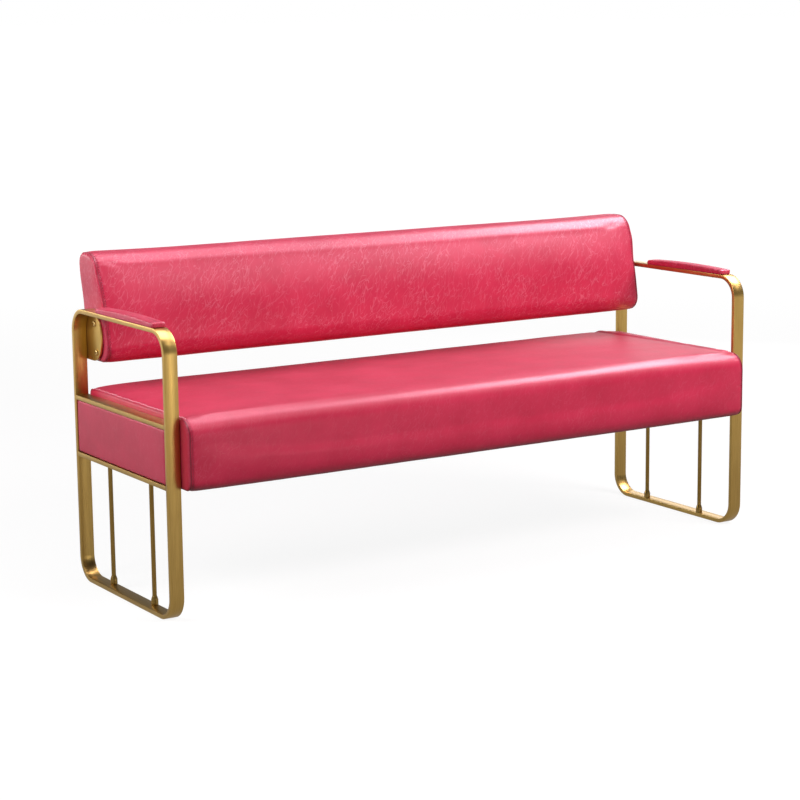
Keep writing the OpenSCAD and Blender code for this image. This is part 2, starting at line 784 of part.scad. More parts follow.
module back_foam() {
    color(sponge) difference() {
        back_core(-back_board_in_x, back_board_in_x);
        prism_x(-half_len, half_len) {
            back_strip(back_board_t, back_rear_r / 2, back_core_rise - back_rear_r / 2);
            for (low = back_rail_lows) back_rail_section(low);
        }
        for (side = [-1, 1], place = back_bolt_places) on_side(side)
            rod_x_way(back_board_in_x - nut_room, back_board_in_x + overrun, nut_pocket_d, place);
    }
}

on_side(-1) side_loop();  // left_loop
on_side(1) side_loop();  // right_loop
on_side(-1) side_rail(upper_rail_h);  // left_upper_rail
on_side(1) side_rail(upper_rail_h);  // right_upper_rail
on_side(-1) side_rail(lower_rail_h);  // left_lower_rail
on_side(1) side_rail(lower_rail_h);  // right_lower_rail
on_side(-1) side_rod(rod_ys[0]);  // left_front_rod
on_side(-1) side_rod(rod_ys[1]);  // left_rear_rod
on_side(1) side_rod(rod_ys[0]);  // right_front_rod
on_side(1) side_rod(rod_ys[1]);  // right_rear_rod
for (side = [-1, 1], y = rod_ys) on_side(side) rod_collar(y);  // rod_collars
on_side(-1) mount_plate();  // left_mount_plate
on_side(1) mount_plate();  // right_mount_plate
on_side(-1) back_bracket();  // left_back_bracket
on_side(1) back_bracket();  // right_back_bracket
on_side(-1) side_board();  // left_side_board
on_side(1) side_board();  // right_side_board
on_side(-1) side_foam();  // left_side_foam
on_side(1) side_foam();  // right_side_foam
on_side(-1) side_cover();  // left_side_cover
on_side(1) side_cover();  // right_side_cover
for (side = [-1, 1], place = clip_places) on_side(side) panel_clip(place);  // panel_clips
on_side(-1) arm_board();  // left_arm_board
on_side(1) arm_board();  // right_arm_board
on_side(-1) arm_foam();  // left_arm_foam
on_side(1) arm_foam();  // right_arm_foam
on_side(-1) arm_cover();  // left_arm_cover
on_side(1) arm_cover();  // right_arm_cover
for (side = [-1, 1], y = arm_screw_ys) on_side(side) arm_screw(y);  // arm_screws
seat_rail(box_front);  // seat_front_rail
seat_rail(core_rear - rail_wood_t);  // seat_rear_rail
on_side(-1) seat_end_board();  // seat_left_end_board
on_side(1) seat_end_board();  // seat_right_end_board
seat_batten(batten_xs[0]);  // seat_left_batten
seat_batten(batten_xs[1]);  // seat_middle_batten
seat_batten(batten_xs[2]);  // seat_right_batten
seat_deck();
seat_foam();
seat_cover();
on_side(-1) seat_end_panel();  // seat_left_end_panel
on_side(1) seat_end_panel();  // seat_right_end_panel
seat_dust_cover();
for (side = [-1, 1], place = seat_bolt_places)  // seat_bolts
        on_side(side) button_bolt(plate_out_x, seat_bolt_len, place);
for (side = [-1, 1], place = seat_bolt_places) on_side(side) flange_nut(board_in_x, place);  // seat_nuts
color(zinc) for (side = [-1, 1], place = seat_screw_places) on_side(side) end_screw(seat_seam_x, place);  // seat_frame_screws
color(zinc) for (place = deck_screw_places) deck_screw(place);  // seat_deck_screws
back_board();
back_rail(back_rail_lows[1]);  // back_top_rail
back_rail(back_rail_lows[0]);  // back_bottom_rail
on_side(-1) back_end_board();  // back_left_end_board
on_side(1) back_end_board();  // back_right_end_board
back_foam();
back_cover();
on_side(-1) back_end_panel();  // back_left_end_panel
on_side(1) back_end_panel();  // back_right_end_panel
for (side = [-1, 1], place = back_bolt_places) on_side(side) button_bolt(inner_x, back_bolt_len, place);  // back_bolts
for (side = [-1, 1], place = back_bolt_places) on_side(side) flange_nut(back_board_in_x, place);  // back_nuts
color(zinc) for (side = [-1, 1], place = back_screw_places) on_side(side) end_screw(back_seam_x, place);  // back_frame_screws
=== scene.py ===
import bpy
import bmesh
import math
from mathutils import Matrix, Vector, noise


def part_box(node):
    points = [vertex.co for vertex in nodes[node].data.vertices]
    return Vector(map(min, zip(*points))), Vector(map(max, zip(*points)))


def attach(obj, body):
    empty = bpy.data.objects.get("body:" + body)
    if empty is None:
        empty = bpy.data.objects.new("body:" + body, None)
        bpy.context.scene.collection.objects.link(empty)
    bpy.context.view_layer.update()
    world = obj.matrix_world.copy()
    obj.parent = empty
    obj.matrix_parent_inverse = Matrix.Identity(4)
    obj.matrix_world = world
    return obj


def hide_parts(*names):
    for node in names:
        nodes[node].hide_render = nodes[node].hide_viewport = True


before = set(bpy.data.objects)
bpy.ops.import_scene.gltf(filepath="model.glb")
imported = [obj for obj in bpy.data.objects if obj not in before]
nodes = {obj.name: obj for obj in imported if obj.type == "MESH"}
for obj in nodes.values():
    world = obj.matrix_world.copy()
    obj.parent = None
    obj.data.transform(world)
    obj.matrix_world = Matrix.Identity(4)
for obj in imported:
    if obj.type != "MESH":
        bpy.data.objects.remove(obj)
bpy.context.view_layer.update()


# The photograph's view: the bench turned by 32 degrees, seen from 10 degrees up through a long lens.
def aim_camera(turn, rise, roll, place, lens):
    a, e, r = math.radians(turn), math.radians(rise), math.radians(roll)
    back = Vector((math.sin(a) * math.cos(e), -math.cos(a) * math.cos(e), math.sin(e)))
    right = (-back).cross(Vector((0, 0, 1))).normalized()
    up = right.cross(-back)
    right, up = math.cos(r) * right + math.sin(r) * up, math.cos(r) * up - math.sin(r) * right
    glass = bpy.data.cameras.new("photo_view")
    glass.lens, glass.sensor_width = lens, 36.0
    glass.clip_start, glass.clip_end = 0.1, 1000.0
    camera = bpy.data.objects.new("photo_view", glass)
    camera.matrix_world = Matrix.Translation(Vector(place)) @ Matrix((right, up, back)).transposed().to_4x4()
    bpy.context.scene.collection.objects.link(camera)
    bpy.context.scene.camera = camera


aim_camera(-32.223, 10.167, -0.616, (-2.73292, -4.22297, 1.27433), 95.83)


# Colours and materials

def shade(code):
    """An sRGB hex colour as Blender's linear RGBA."""
    parts = [int(code[i:i + 2], 16) / 255 for i in (1, 3, 5)]
    return tuple(c / 12.92 if c <= 0.04045 else ((c + 0.055) / 1.055) ** 2.4 for c in parts) + (1.0,)


def put(mat, kind, looks=None, **feeds):
    """Adds one node. looks are its own settings; feeds are its inputs, by name with _ for a space or as i7 for the
    seventh, each a value or another node's output."""
    node = mat.node_tree.nodes.new(kind)
    for key, value in (looks or {}).items():
        setattr(node, key, value)
    for key, value in feeds.items():
        at = int(key[1:]) if key[0] == "i" and key[1:].isdigit() else key.replace("_", " ")
        if isinstance(value, bpy.types.NodeSocket):
            mat.node_tree.links.new(value, node.inputs[at])
        else:
            node.inputs[at].default_value = value
    return node


def new_finish(name):
    """An empty material, and the place on the piece that its patterns read."""
    mat = bpy.data.materials.new(name)
    mat.use_nodes = True
    mat.node_tree.nodes.clear()
    place = put(mat, "ShaderNodeTexCoord").outputs["Object"]
    return mat, place


def close_finish(mat, surface):
    """Ends a material with its surface."""
    put(mat, "ShaderNodeOutputMaterial", Surface=surface.outputs["BSDF"])
    return mat


# How far the creased faces lean back, in radians
FACE_LEAN = 0.26


def oil_wax_leather(name, deep, plain, pale):
    """Oil-wax bonded leather, rolled and buffed: a dyed face under a waxy topcoat. It gives the eye a saturated red
    with soft cloudy patches, paler pull-up creases that cross it in slanting bundles, and a broad satin shine."""
    mat, place = new_finish(name)
    clouds = put(mat, "ShaderNodeTexNoise", Vector=place, Scale=9.0, Detail=4.0, Roughness=0.6)
    cloudy = put(mat, "ShaderNodeMapRange", Value=clouds.outputs["Fac"], From_Min=0.36, From_Max=0.66)
    base = put(mat, "ShaderNodeMix", {"data_type": "RGBA"}, i0=cloudy.outputs[0], i6=shade(deep), i7=shade(plain))
    # Creases: the broken edges of slanting cells, 8 mm wide and 30 to 40 mm long, laid in the backrest's face. Real
    # ones are 0.3 mm wide, and about 0.8 mm here so that they show.
    wander = put(mat, "ShaderNodeTexNoise", Vector=place, Scale=45.0, Detail=1.0)
    bent = put(mat, "ShaderNodeVectorMath", {"operation": "MULTIPLY_ADD"}, i0=wander.outputs["Color"],
               i1=(0.004, 0.004, 0.004), i2=place)
    marks = None
    for slant, size, long in ((56, 120.0, 5.0), (84, 130.0, 4.0), (40, 125.0, 5.0)):
        lean = put(mat, "ShaderNodeMapping", {"vector_type": "TEXTURE"}, Vector=bent.outputs[0],
                   Rotation=(-FACE_LEAN, math.radians(90 - slant), 0.0), Scale=(1.0, 1.0, long))
        cells = put(mat, "ShaderNodeTexVoronoi", {"feature": "DISTANCE_TO_EDGE"}, Vector=lean.outputs[0], Scale=size)
        line = put(mat, "ShaderNodeMapRange", Value=cells.outputs["Distance"], From_Min=0.06, From_Max=0.01)
        gaps = put(mat, "ShaderNodeTexNoise", Vector=lean.outputs[0], Scale=size * 0.9, Detail=0.0)
        kept = put(mat, "ShaderNodeMapRange", Value=gaps.outputs["Fac"], From_Min=0.48, From_Max=0.66)
        stroke = put(mat, "ShaderNodeMath", {"operation": "MULTIPLY"}, i0=line.outputs[0], i1=kept.outputs[0])
        marks = stroke if marks is None else put(mat, "ShaderNodeMath", {"operation": "MAXIMUM"},
                                                 i0=marks.outputs[0], i1=stroke.outputs[0])
    # The backrest, where shoulders rub, is creased more than the seat.
    height = put(mat, "ShaderNodeSeparateXYZ", Vector=place)
    rubbed = put(mat, "ShaderNodeMapRange", Value=height.outputs["Z"], From_Min=0.46, From_Max=0.54, To_Min=0.3)
    patch = put(mat, "ShaderNodeTexNoise", Vector=place, Scale=6.0, Detail=2.0)
    worn = put(mat, "ShaderNodeMapRange", Value=patch.outputs["Fac"], From_Min=0.34, From_Max=0.62, To_Min=0.12,
               To_Max=0.24)
    often = put(mat, "ShaderNodeMath", {"operation": "MULTIPLY"}, i0=worn.outputs[0], i1=rubbed.outputs[0])
    marked = put(mat, "ShaderNodeMath", {"operation": "MULTIPLY"}, i0=marks.outputs[0], i1=often.outputs[0])
    dyed = put(mat, "ShaderNodeMix", {"data_type": "RGBA"}, i0=marked.outputs[0], i6=base.outputs[2], i7=shade(pale))
    # The leather is darkened towards #5C1020 where the pieces note it: painted shade in the drawn-in seams, the pads'
    # folds and the gaps at their edges.
    sewn = put(mat, "ShaderNodeAttribute", {"attribute_name": "sewn"})
    seam_shade_share = put(mat, "ShaderNodeMath", {"operation": "MULTIPLY"}, i0=sewn.outputs["Fac"], i1=0.8)
    colour = put(mat, "ShaderNodeMix", {"data_type": "RGBA"}, i0=seam_shade_share.outputs[0], i6=dyed.outputs[2],
                 i7=shade("#5C1020"))
    # Grain: pebbles of 1.6 mm, drawn a little coarser than real ones so that they show.
    pebbles = put(mat, "ShaderNodeTexVoronoi", {"feature": "F1"}, Vector=place, Scale=620.0)
    grain = put(mat, "ShaderNodeBump", Strength=0.08, Distance=0.0004, Height=pebbles.outputs["Distance"])
    ridges = put(mat, "ShaderNodeBump", Strength=0.22, Distance=0.0006, Height=marked.outputs[0],
                 Normal=grain.outputs[0])
    # At a glancing look the grain shades itself and the wax turns matt.
    glance = put(mat, "ShaderNodeLayerWeight", Blend=0.5)
    matt = put(mat, "ShaderNodeMapRange", Value=glance.outputs["Facing"], From_Min=0.55, From_Max=0.95, To_Min=0.36,
               To_Max=0.50)
    dulled = put(mat, "ShaderNodeMath", {"operation": "MULTIPLY_ADD"}, i0=clouds.outputs["Fac"], i1=0.08,
                 i2=matt.outputs[0])
    return close_finish(mat, put(mat, "ShaderNodeBsdfPrincipled", Base_Color=colour.outputs[2],
                                 Roughness=dulled.outputs[0], IOR=1.5, Specular_IOR_Level=0.5,
                                 Normal=ridges.outputs[0]))


def brushed_gold(name, dark, light, across, rough):
    """Stainless steel with a gold PVD coat, belt-brushed along the bar: a warm, slightly green metal whose fine lines
    stretch each reflection across them. across is the pattern's scale per metre on X, Y and Z."""
    mat, place = new_finish(name)
    run = put(mat, "ShaderNodeMapping", Vector=place, Scale=across)
    # Brush lines are 0.1 mm apart in truth, and 2 mm here so that they show.
    lines = put(mat, "ShaderNodeTexNoise", Vector=run.outputs[0], Scale=1.0, Detail=4.0, Roughness=0.65)
    clouds = put(mat, "ShaderNodeTexNoise", Vector=place, Scale=11.0, Detail=2.0)
    streaks = put(mat, "ShaderNodeMapRange", Value=lines.outputs["Fac"], From_Min=0.32, From_Max=0.68)
    mixed = put(mat, "ShaderNodeMath", {"operation": "MULTIPLY_ADD"}, i0=clouds.outputs["Fac"], i1=0.7,
                i2=streaks.outputs[0])
    halved = put(mat, "ShaderNodeMath", {"operation": "MULTIPLY"}, i0=mixed.outputs[0], i1=0.6)
    colour = put(mat, "ShaderNodeMix", {"data_type": "RGBA"}, i0=halved.outputs[0], i6=shade(dark), i7=shade(light))
    sheen = put(mat, "ShaderNodeMapRange", Value=lines.outputs["Fac"], From_Min=0.3, From_Max=0.7,
                To_Min=rough - 0.05, To_Max=rough + 0.06)
    scratch = put(mat, "ShaderNodeBump", Strength=0.07, Distance=0.0003, Height=lines.outputs["Fac"])
    return close_finish(mat, put(mat, "ShaderNodeBsdfPrincipled", Base_Color=colour.outputs[2], Metallic=1.0,
                                 Roughness=sheen.outputs[0], Normal=scratch.outputs[0]))


def sawn_wood(name, dark, light, along, rings):
    """Planed or sanded timber: pale wood whose grain runs in long streaks. rings is the streaks' scale per metre."""
    mat, place = new_finish(name)
    run = put(mat, "ShaderNodeMapping", Vector=place, Scale=along)
    grain = put(mat, "ShaderNodeTexNoise", Vector=run.outputs[0], Scale=rings, Detail=5.0, Roughness=0.6,
                Distortion=0.4)
    tone = put(mat, "ShaderNodeMapRange", Value=grain.outputs["Fac"], From_Min=0.36, From_Max=0.66)
    colour = put(mat, "ShaderNodeMix", {"data_type": "RGBA"}, i0=tone.outputs[0], i6=shade(dark), i7=shade(light))
    fibre = put(mat, "ShaderNodeBump", Strength=0.2, Distance=0.0004, Height=grain.outputs["Fac"])
    return close_finish(mat, put(mat, "ShaderNodeBsdfPrincipled", Base_Color=colour.outputs[2], Roughness=0.6,
                                 IOR=1.5, Normal=fibre.outputs[0]))


def cellular(name, dark, light, cell, rough, depth):
    """A matt surface of small cells or fibres, such as cut foam, felt or moulded nylon. cell is the cells' scale."""
    mat, place = new_finish(name)
    cells = put(mat, "ShaderNodeTexVoronoi", {"feature": "F1"}, Vector=place, Scale=cell)
    tint = put(mat, "ShaderNodeTexNoise", Vector=place, Scale=cell / 12, Detail=2.0)
    mixed = put(mat, "ShaderNodeMath", {"operation": "MULTIPLY"}, i0=cells.outputs["Distance"],
                i1=tint.outputs["Fac"])
    fleck = put(mat, "ShaderNodeMapRange", Value=mixed.outputs[0], From_Min=0.05, From_Max=0.4)
    colour = put(mat, "ShaderNodeMix", {"data_type": "RGBA"}, i0=fleck.outputs[0], i6=shade(dark), i7=shade(light))
    pits = put(mat, "ShaderNodeBump", Strength=0.4, Distance=depth, Height=cells.outputs["Distance"])
    return close_finish(mat, put(mat, "ShaderNodeBsdfPrincipled", Base_Color=colour.outputs[2], Roughness=rough,
                                 IOR=1.5, Normal=pits.outputs[0]))


def zinc_plate(name):
    """Zinc-plated steel, barrel-plated: a cool bright grey with cloudy spangle."""
    mat, place = new_finish(name)
    spangle = put(mat, "ShaderNodeTexNoise", Vector=place, Scale=240.0, Detail=3.0)
    colour = put(mat, "ShaderNodeMix", {"data_type": "RGBA"}, i0=spangle.outputs["Fac"], i6=shade("#8F949A"),
                 i7=shade("#C9CDD2"))
    dull = put(mat, "ShaderNodeMapRange", Value=spangle.outputs["Fac"], To_Min=0.28, To_Max=0.48)
    return close_finish(mat, put(mat, "ShaderNodeBsdfPrincipled", Base_Color=colour.outputs[2], Metallic=1.0,
                                 Roughness=dull.outputs[0]))


def sewing_thread(name, dark, light):
    """Bonded polyester thread, twisted: a short bright or dark dash with the dull glint of its twist."""
    mat, place = new_finish(name)
    twist = put(mat, "ShaderNodeTexWave", {"bands_direction": "DIAGONAL"}, Vector=place, Scale=420.0, Distortion=1.5)
    colour = put(mat, "ShaderNodeMix", {"data_type": "RGBA"}, i0=twist.outputs["Fac"], i6=shade(dark),
                 i7=shade(light))
    strand = put(mat, "ShaderNodeBump", Strength=0.3, Distance=0.0002, Height=twist.outputs["Fac"])
    return close_finish(mat, put(mat, "ShaderNodeBsdfPrincipled", Base_Color=colour.outputs[2], Roughness=0.5,
                                 IOR=1.5, Normal=strand.outputs[0]))


LEATHER = oil_wax_leather("oil_wax_leather", "#C62046", "#D32B51", "#F0A0B4")
BAR_GOLD = brushed_gold("brushed_gold_bar", "#A98648", "#CDAA62", (420, 9, 9), 0.32)
ROD_GOLD = brushed_gold("drawn_gold_rod", "#7E622E", "#A8884A", (520, 520, 10), 0.36)
TURNED_GOLD = brushed_gold("turned_gold_collar", "#866A34", "#B29254", (20, 20, 700), 0.30)
BOLT_GOLD = brushed_gold("polished_gold_bolt", "#B08C4C", "#DDBE82", (160, 160, 160), 0.2)
PLYWOOD = sawn_wood("birch_plywood", "#B08655", "#D9B98A", (3, 30, 180), 1.0)
PINE = sawn_wood("planed_pine", "#C79A5E", "#E7CB99", (4, 120, 120), 1.0)
FOAM = cellular("cut_foam", "#D8C48E", "#F1E4BC", 420.0, 0.9, 0.0008)
DUST_CLOTH = cellular("black_felt_cloth", "#17171A", "#2C2C31", 700.0, 0.85, 0.0003)
NYLON = cellular("moulded_nylon", "#2B2B2E", "#3B3B3F", 900.0, 0.5, 0.0001)
ZINC = zinc_plate("zinc_plated_steel")
PALE_THREAD = sewing_thread("pale_bonded_thread", "#D98CA0", "#F6CBD6")
RED_THREAD = sewing_thread("red_bonded_thread", "#7E1A32", "#A92C4A")


# Workshop steps

def lone(piece):
    """Selects this piece and nothing else."""
    bpy.ops.object.select_all(action="DESELECT")
    piece.select_set(True)
    bpy.context.view_layer.objects.active = piece


def begin(name, adder, **how):
    """Adds a primitive at its size and place, with nothing else selected."""
    bpy.ops.object.select_all(action="DESELECT")
    adder(**how)
    piece = bpy.context.active_object
    piece.name = piece.data.name = name
    bpy.ops.object.transform_apply(location=True, rotation=True, scale=True)
    return piece


def choose(piece, kind, test):
    """In edit mode, selects only the faces or edges that pass the test."""
    bpy.ops.mesh.select_mode(type=kind)
    bpy.ops.mesh.select_all(action="DESELECT")
    shape = bmesh.from_edit_mesh(piece.data)
    for part in list(shape.faces if kind == "FACE" else shape.edges):
        if test(part):
            part.select_set(True)
    bmesh.update_edit_mesh(piece.data)


def work(piece, kind, **settings):
    """Puts a modifier on the piece and applies it."""
    step = piece.modifiers.new(kind.lower(), kind)
    for key, value in settings.items():
        setattr(step, key, value)
    lone(piece)
    bpy.ops.object.modifier_apply(modifier=step.name)


def hand_over(piece, finish, stands_for=(), smooth=30):
    """A finished piece: smooth where it is round, in its material, on the bench's one body."""
    lone(piece)
    bpy.ops.object.transform_apply(location=True, rotation=True, scale=True)
    bpy.ops.object.shade_smooth_by_angle(angle=math.radians(smooth))
    piece.data.materials.clear()
    piece.data.materials.append(finish)
    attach(piece, "root")
    if stands_for:
        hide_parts(*stands_for)


# Side frames

# The bar's thickness, its bends' outer radius, and how far the bracket plates' outer faces stand from the middle
BAR_T = 0.010
BEND_R = 0.055
BRACKET_FACE = 0.768
SIDES = (("left", -1), ("right", 1))


def bent_loop(name, node):
    """Flat bar bent round four corners and closed: a band round the outside that gets its thickness inwards."""
    low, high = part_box(node)
    loop = begin(name, bpy.ops.mesh.primitive_cube_add, size=1, location=(low + high) / 2, scale=high - low)
    bpy.ops.object.mode_set(mode="EDIT")
    choose(loop, "FACE", lambda f: abs(f.normal.x) > 0.9)
    bpy.ops.mesh.delete(type="FACE")
    choose(loop, "EDGE", lambda e: abs(e.verts[0].co.x - e.verts[1].co.x) > 0.01)
    bpy.ops.mesh.bevel(offset_type="OFFSET", offset=BEND_R, segments=20, profile=0.5, affect="EDGES")
    bpy.ops.object.mode_set(mode="OBJECT")
    work(loop, "SOLIDIFY", thickness=BAR_T, offset=-1, use_even_offset=True)
    work(loop, "BEVEL", width=0.0012, segments=2, limit_method="ANGLE", angle_limit=math.radians(50))
    hand_over(loop, BAR_GOLD, [node])


def flat_rail(name, node):
    """A straight length of the bar between the posts, its long edges broken and a ring inset flat into each end face.
    """
    low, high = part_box(node)
    rail = begin(name, bpy.ops.mesh.primitive_cube_add, size=1, location=(low + high) / 2, scale=high - low)
    bpy.ops.object.mode_set(mode="EDIT")
    choose(rail, "EDGE", lambda e: abs(e.verts[0].co.y - e.verts[1].co.y) > 0.01)
    bpy.ops.mesh.bevel(offset_type="OFFSET", offset=0.0008, segments=3, profile=0.5, affect="EDGES")
    choose(rail, "FACE", lambda f: abs(f.normal.y) > 0.9)
    bpy.ops.mesh.inset(thickness=0.0012, depth=0)
    bpy.ops.object.mode_set(mode="OBJECT")
    hand_over(rail, BAR_GOLD, [node])


def turned(name, foot, profile, around=32):
    """A round piece raised from its foot by steps of (radius, height above the foot)."""
    piece = begin(name, bpy.ops.mesh.primitive_circle_add, vertices=around, radius=profile[0][0], fill_type="NGON",
                  location=foot)
    bpy.ops.object.mode_set(mode="EDIT")
    bpy.ops.mesh.select_all(action="SELECT")
    for (r0, h0), (r1, h1) in zip(profile, profile[1:]):
        bpy.ops.mesh.extrude_region_move(TRANSFORM_OT_translate={"value": (0, 0, h1 - h0)})
        bpy.ops.transform.resize(value=(r1 / r0, r1 / r0, 1), center_override=(foot[0], foot[1], foot[2] + h1))
    bpy.ops.mesh.select_all(action="SELECT")
    bpy.ops.mesh.normals_make_consistent(inside=False)
    bpy.ops.object.mode_set(mode="OBJECT")
    return piece


def upright_rod(name, node):
    """A round rod that flares a little where it is welded under the rail and on the bar."""
    low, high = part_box(node)
    r, tall = (high.x - low.x) / 2, high.z - low.z
    foot = ((low.x + high.x) / 2, (low.y + high.y) / 2, low.z)
    rod = turned(name, foot, [(r + 0.0012, 0), (r + 0.0003, 0.0012), (r, 0.003), (r, tall - 0.006),
                              (r + 0.0009, tall - 0.0025), (r + 0.0026, tall)])
    hand_over(rod, ROD_GOLD, [node], smooth=40)


def foot_collar(name, foot):
    """A turned collar with a chamfered shoulder round the foot of a rod."""
    collar = turned(name, foot, [(0.0076, 0), (0.008, 0.0005), (0.008, 0.0115), (0.0077, 0.013), (0.0060, 0.0185),
                                 (0.0053, 0.020)])
    hand_over(collar, TURNED_GOLD, ["rod_collars"], smooth=25)


def bracket_plate(name, node):
    """A plate with a wide round nose at the front and a rear corner that keeps inside the post's bend."""
    low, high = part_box(node)
    plate = begin(name, bpy.ops.mesh.primitive_cube_add, size=1, location=(low + high) / 2, scale=high - low)
    for nose, radius, segments in ((True, 0.0449, 14), (False, 0.035, 9)):
        bpy.ops.object.mode_set(mode="EDIT")
        choose(plate, "EDGE", lambda e: abs(e.verts[0].co.x - e.verts[1].co.x) > 0.003 and (
            e.verts[0].co.y < low.y + 0.001 if nose
            else e.verts[0].co.y > high.y - 0.001 and e.verts[0].co.z > high.z - 0.001))
        bpy.ops.mesh.bevel(offset_type="OFFSET", offset=radius, segments=segments, profile=0.5, affect="EDGES")
        bpy.ops.object.mode_set(mode="OBJECT")
    work(plate, "BEVEL", width=0.0006, segments=2, limit_method="ANGLE", angle_limit=math.radians(50))
    hand_over(plate, BAR_GOLD, [node])


def pan_bolt(name, side, place):
    """A pan-headed socket bolt against the bracket's outer face, domed, with a round recess."""
    bolt = turned(name, (0, 0, 0), [(0.0070, 0), (0.0070, 0.0013), (0.0066, 0.0026), (0.0056, 0.0038),
                                    (0.0044, 0.0044)], around=30)
    bpy.ops.object.mode_set(mode="EDIT")
    choose(bolt, "FACE", lambda f: f.normal.z > 0.9 and f.calc_center_median().z > 0.004)
    bpy.ops.mesh.inset(thickness=0.0016, depth=0)
    bpy.ops.mesh.extrude_region_move(TRANSFORM_OT_translate={"value": (0, 0, -0.0022)})
    bpy.ops.mesh.select_all(action="SELECT")
    bpy.ops.mesh.normals_make_consistent(inside=False)
    bpy.ops.object.mode_set(mode="OBJECT")
    bolt.rotation_euler = (0, side * math.pi / 2, 0)
    bolt.location = (side * BRACKET_FACE, *place)
    hand_over(bolt, BOLT_GOLD, ["back_bolts"], smooth=35)


for side in ("left", "right"):
    bent_loop(f"{side}_bent_loop", f"{side}_loop")
    flat_rail(f"{side}_top_rail_bar", f"{side}_upper_rail")
    flat_rail(f"{side}_low_rail_bar", f"{side}_lower_rail")
    bracket_plate(f"{side}_bracket_plate", f"{side}_back_bracket")
    for end in ("front", "rear"):
        upright_rod(f"{side}_{end}_upright", f"{side}_{end}_rod")
        lo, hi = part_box(f"{side}_{end}_rod")
        centre = (lo + hi) / 2
        foot_collar(f"{side}_{end}_collar", (centre.x, centre.y, lo.z))

# Each bracket's two bolts, as (y, z)
BOLT_PLACES = [(0.18048, 0.53505), (0.18752, 0.59995)]
for side, sign in SIDES:
    for k, place in enumerate(BOLT_PLACES):
        pan_bolt(f"{side}_bracket_bolt_{k + 1}", sign, place)


# Upholstery: soft sections in (y, z), drawn anticlockwise round their corners

def turn_left(v):
    return Vector((-v.y, v.x))


def drawn_in(corners, depth):
    """The section's corners with every side moved inwards."""
    moved = []
    for i, corner in enumerate(corners):
        a = turn_left((corner - corners[i - 1]).normalized())
        b = turn_left((corners[(i + 1) % len(corners)] - corner).normalized())
        moved.append(corner + (a + b) * (depth / (1 + a.dot(b))))
    return moved


def soft_ring(corners, radii, bows, arc_steps, run_steps):
    """Points round a section with rounded corners and sides that bow outwards."""
    arcs = []
    for i, corner in enumerate(corners):
        a = (corner - corners[i - 1]).normalized()
        b = (corners[(i + 1) % len(corners)] - corner).normalized()
        out = -turn_left(a)
        start, turn = math.atan2(out.y, out.x), math.acos(max(-1, min(1, a.dot(b))))
        centre = corner - (out - turn_left(b)) * (radii[i] / (1 - out.dot(turn_left(b))))
        arcs.append([centre + radii[i] * Vector((math.cos(start + turn * s / arc_steps[i]),
                                                 math.sin(start + turn * s / arc_steps[i])))
                     for s in range(arc_steps[i] + 1)])
    ring = []
    for i, arc in enumerate(arcs):
        ring += arc
        p, q = arc[-1], arcs[(i + 1) % len(arcs)][0]
        out = -turn_left((q - p).normalized())
        n = run_steps[i]
        ring += [p + (q - p) * (s / n) + out * (bows[i] * math.sin(math.pi * s / n)) for s in range(1, n)]
    return ring


def new_piece(name, points, faces):
    """A piece from points and faces, its faces turned outwards."""
    mesh = bpy.data.meshes.new(name)
    mesh.from_pydata([tuple(p) for p in points], [], faces)
    piece = bpy.data.objects.new(name, mesh)
    bpy.context.scene.collection.objects.link(piece)
    lone(piece)
    bpy.ops.object.mode_set(mode="EDIT")
    bpy.ops.mesh.select_all(action="SELECT")
    bpy.ops.mesh.normals_make_consistent(inside=False)
    bpy.ops.object.mode_set(mode="OBJECT")
    return piece


def loft(name, rings):
    """A skin through rings of points, open at both ends."""
    n = len(rings[0])
    faces = []
    for k in range(len(rings) - 1):
        for i in range(n):
            a, b = k * n + i, k * n + (i + 1) % n
            faces.append((a, b, b + n, a + n))
    return new_piece(name, [p for ring in rings for p in ring], faces)


def refine(piece):
    """One subdivision; the open ends are closed after it, which keeps it quick."""
    work(piece, "SUBSURF", levels=1, render_levels=1)
    shape = bmesh.new()
    shape.from_mesh(piece.data)
    bmesh.ops.holes_fill(shape, edges=[e for e in shape.edges if e.is_boundary], sides=0)
    bmesh.ops.recalc_face_normals(shape, faces=shape.faces)
    shape.to_mesh(piece.data)
    shape.free()


SETTLING_FRAMES = 20


def swell(piece, held, cap):
    """Fills the cover: cloth under air pressure, held where held(point) says, each point moving no further than
    cap(point), and hardly inwards, where the foam is. The result stays in the mesh."""
    rest = [(v.co.copy(), v.normal.copy()) for v in piece.data.vertices]
    group = piece.vertex_groups.new(name="held")
    for v in piece.data.vertices:
        group.add([v.index], held(v.co), "REPLACE")
    step = piece.modifiers.new("cloth", "CLOTH")
    cloth = step.settings
    cloth.quality = 5
    cloth.mass = 0.35
    cloth.tension_stiffness = cloth.compression_stiffness = 25
    cloth.shear_stiffness = 10
    cloth.bending_stiffness = 0.8
    cloth.use_pressure = True
    cloth.uniform_pressure_force = 3.0
    cloth.vertex_group_mass = "held"
    cloth.effector_weights.gravity = 0
    step.point_cache.frame_start, step.point_cache.frame_end = 1, SETTLING_FRAMES
    for n in range(1, SETTLING_FRAMES + 1):
        bpy.context.scene.frame_set(n)
    lone(piece)
    bpy.ops.object.modifier_apply(modifier=step.name)
    for v, (was, out) in zip(piece.data.vertices, rest):
        move = v.co - was
        most = cap(was)
        move -= out * min(0.0, move.dot(out) + most * 0.3)
        v.co = was + move * min(1.0, most / max(move.length, 0.000001))
    piece.vertex_groups.clear()
    bpy.context.scene.frame_set(1)


def note_seam_shade(piece, depth_at):
    """Writes how deep in a seam each point lies, for the painted shade in the leather's colour."""
    marks = piece.data.attributes.new("sewn", "FLOAT", "POINT")
    for v in piece.data.vertices:
        marks.data[v.index].value = max(0.0, min(1.0, depth_at(v.co)))


# How far the end seams stand from the bench's middle, how far the stitches run inside them, and how deep a seam
# draws its section in
SEAT_SEAM = 0.7630
BACK_SEAM = 0.7565
SEAT_STITCHED = 0.0045
BACK_STITCHED = 0.0038
SEAM_DRAW = 0.0015


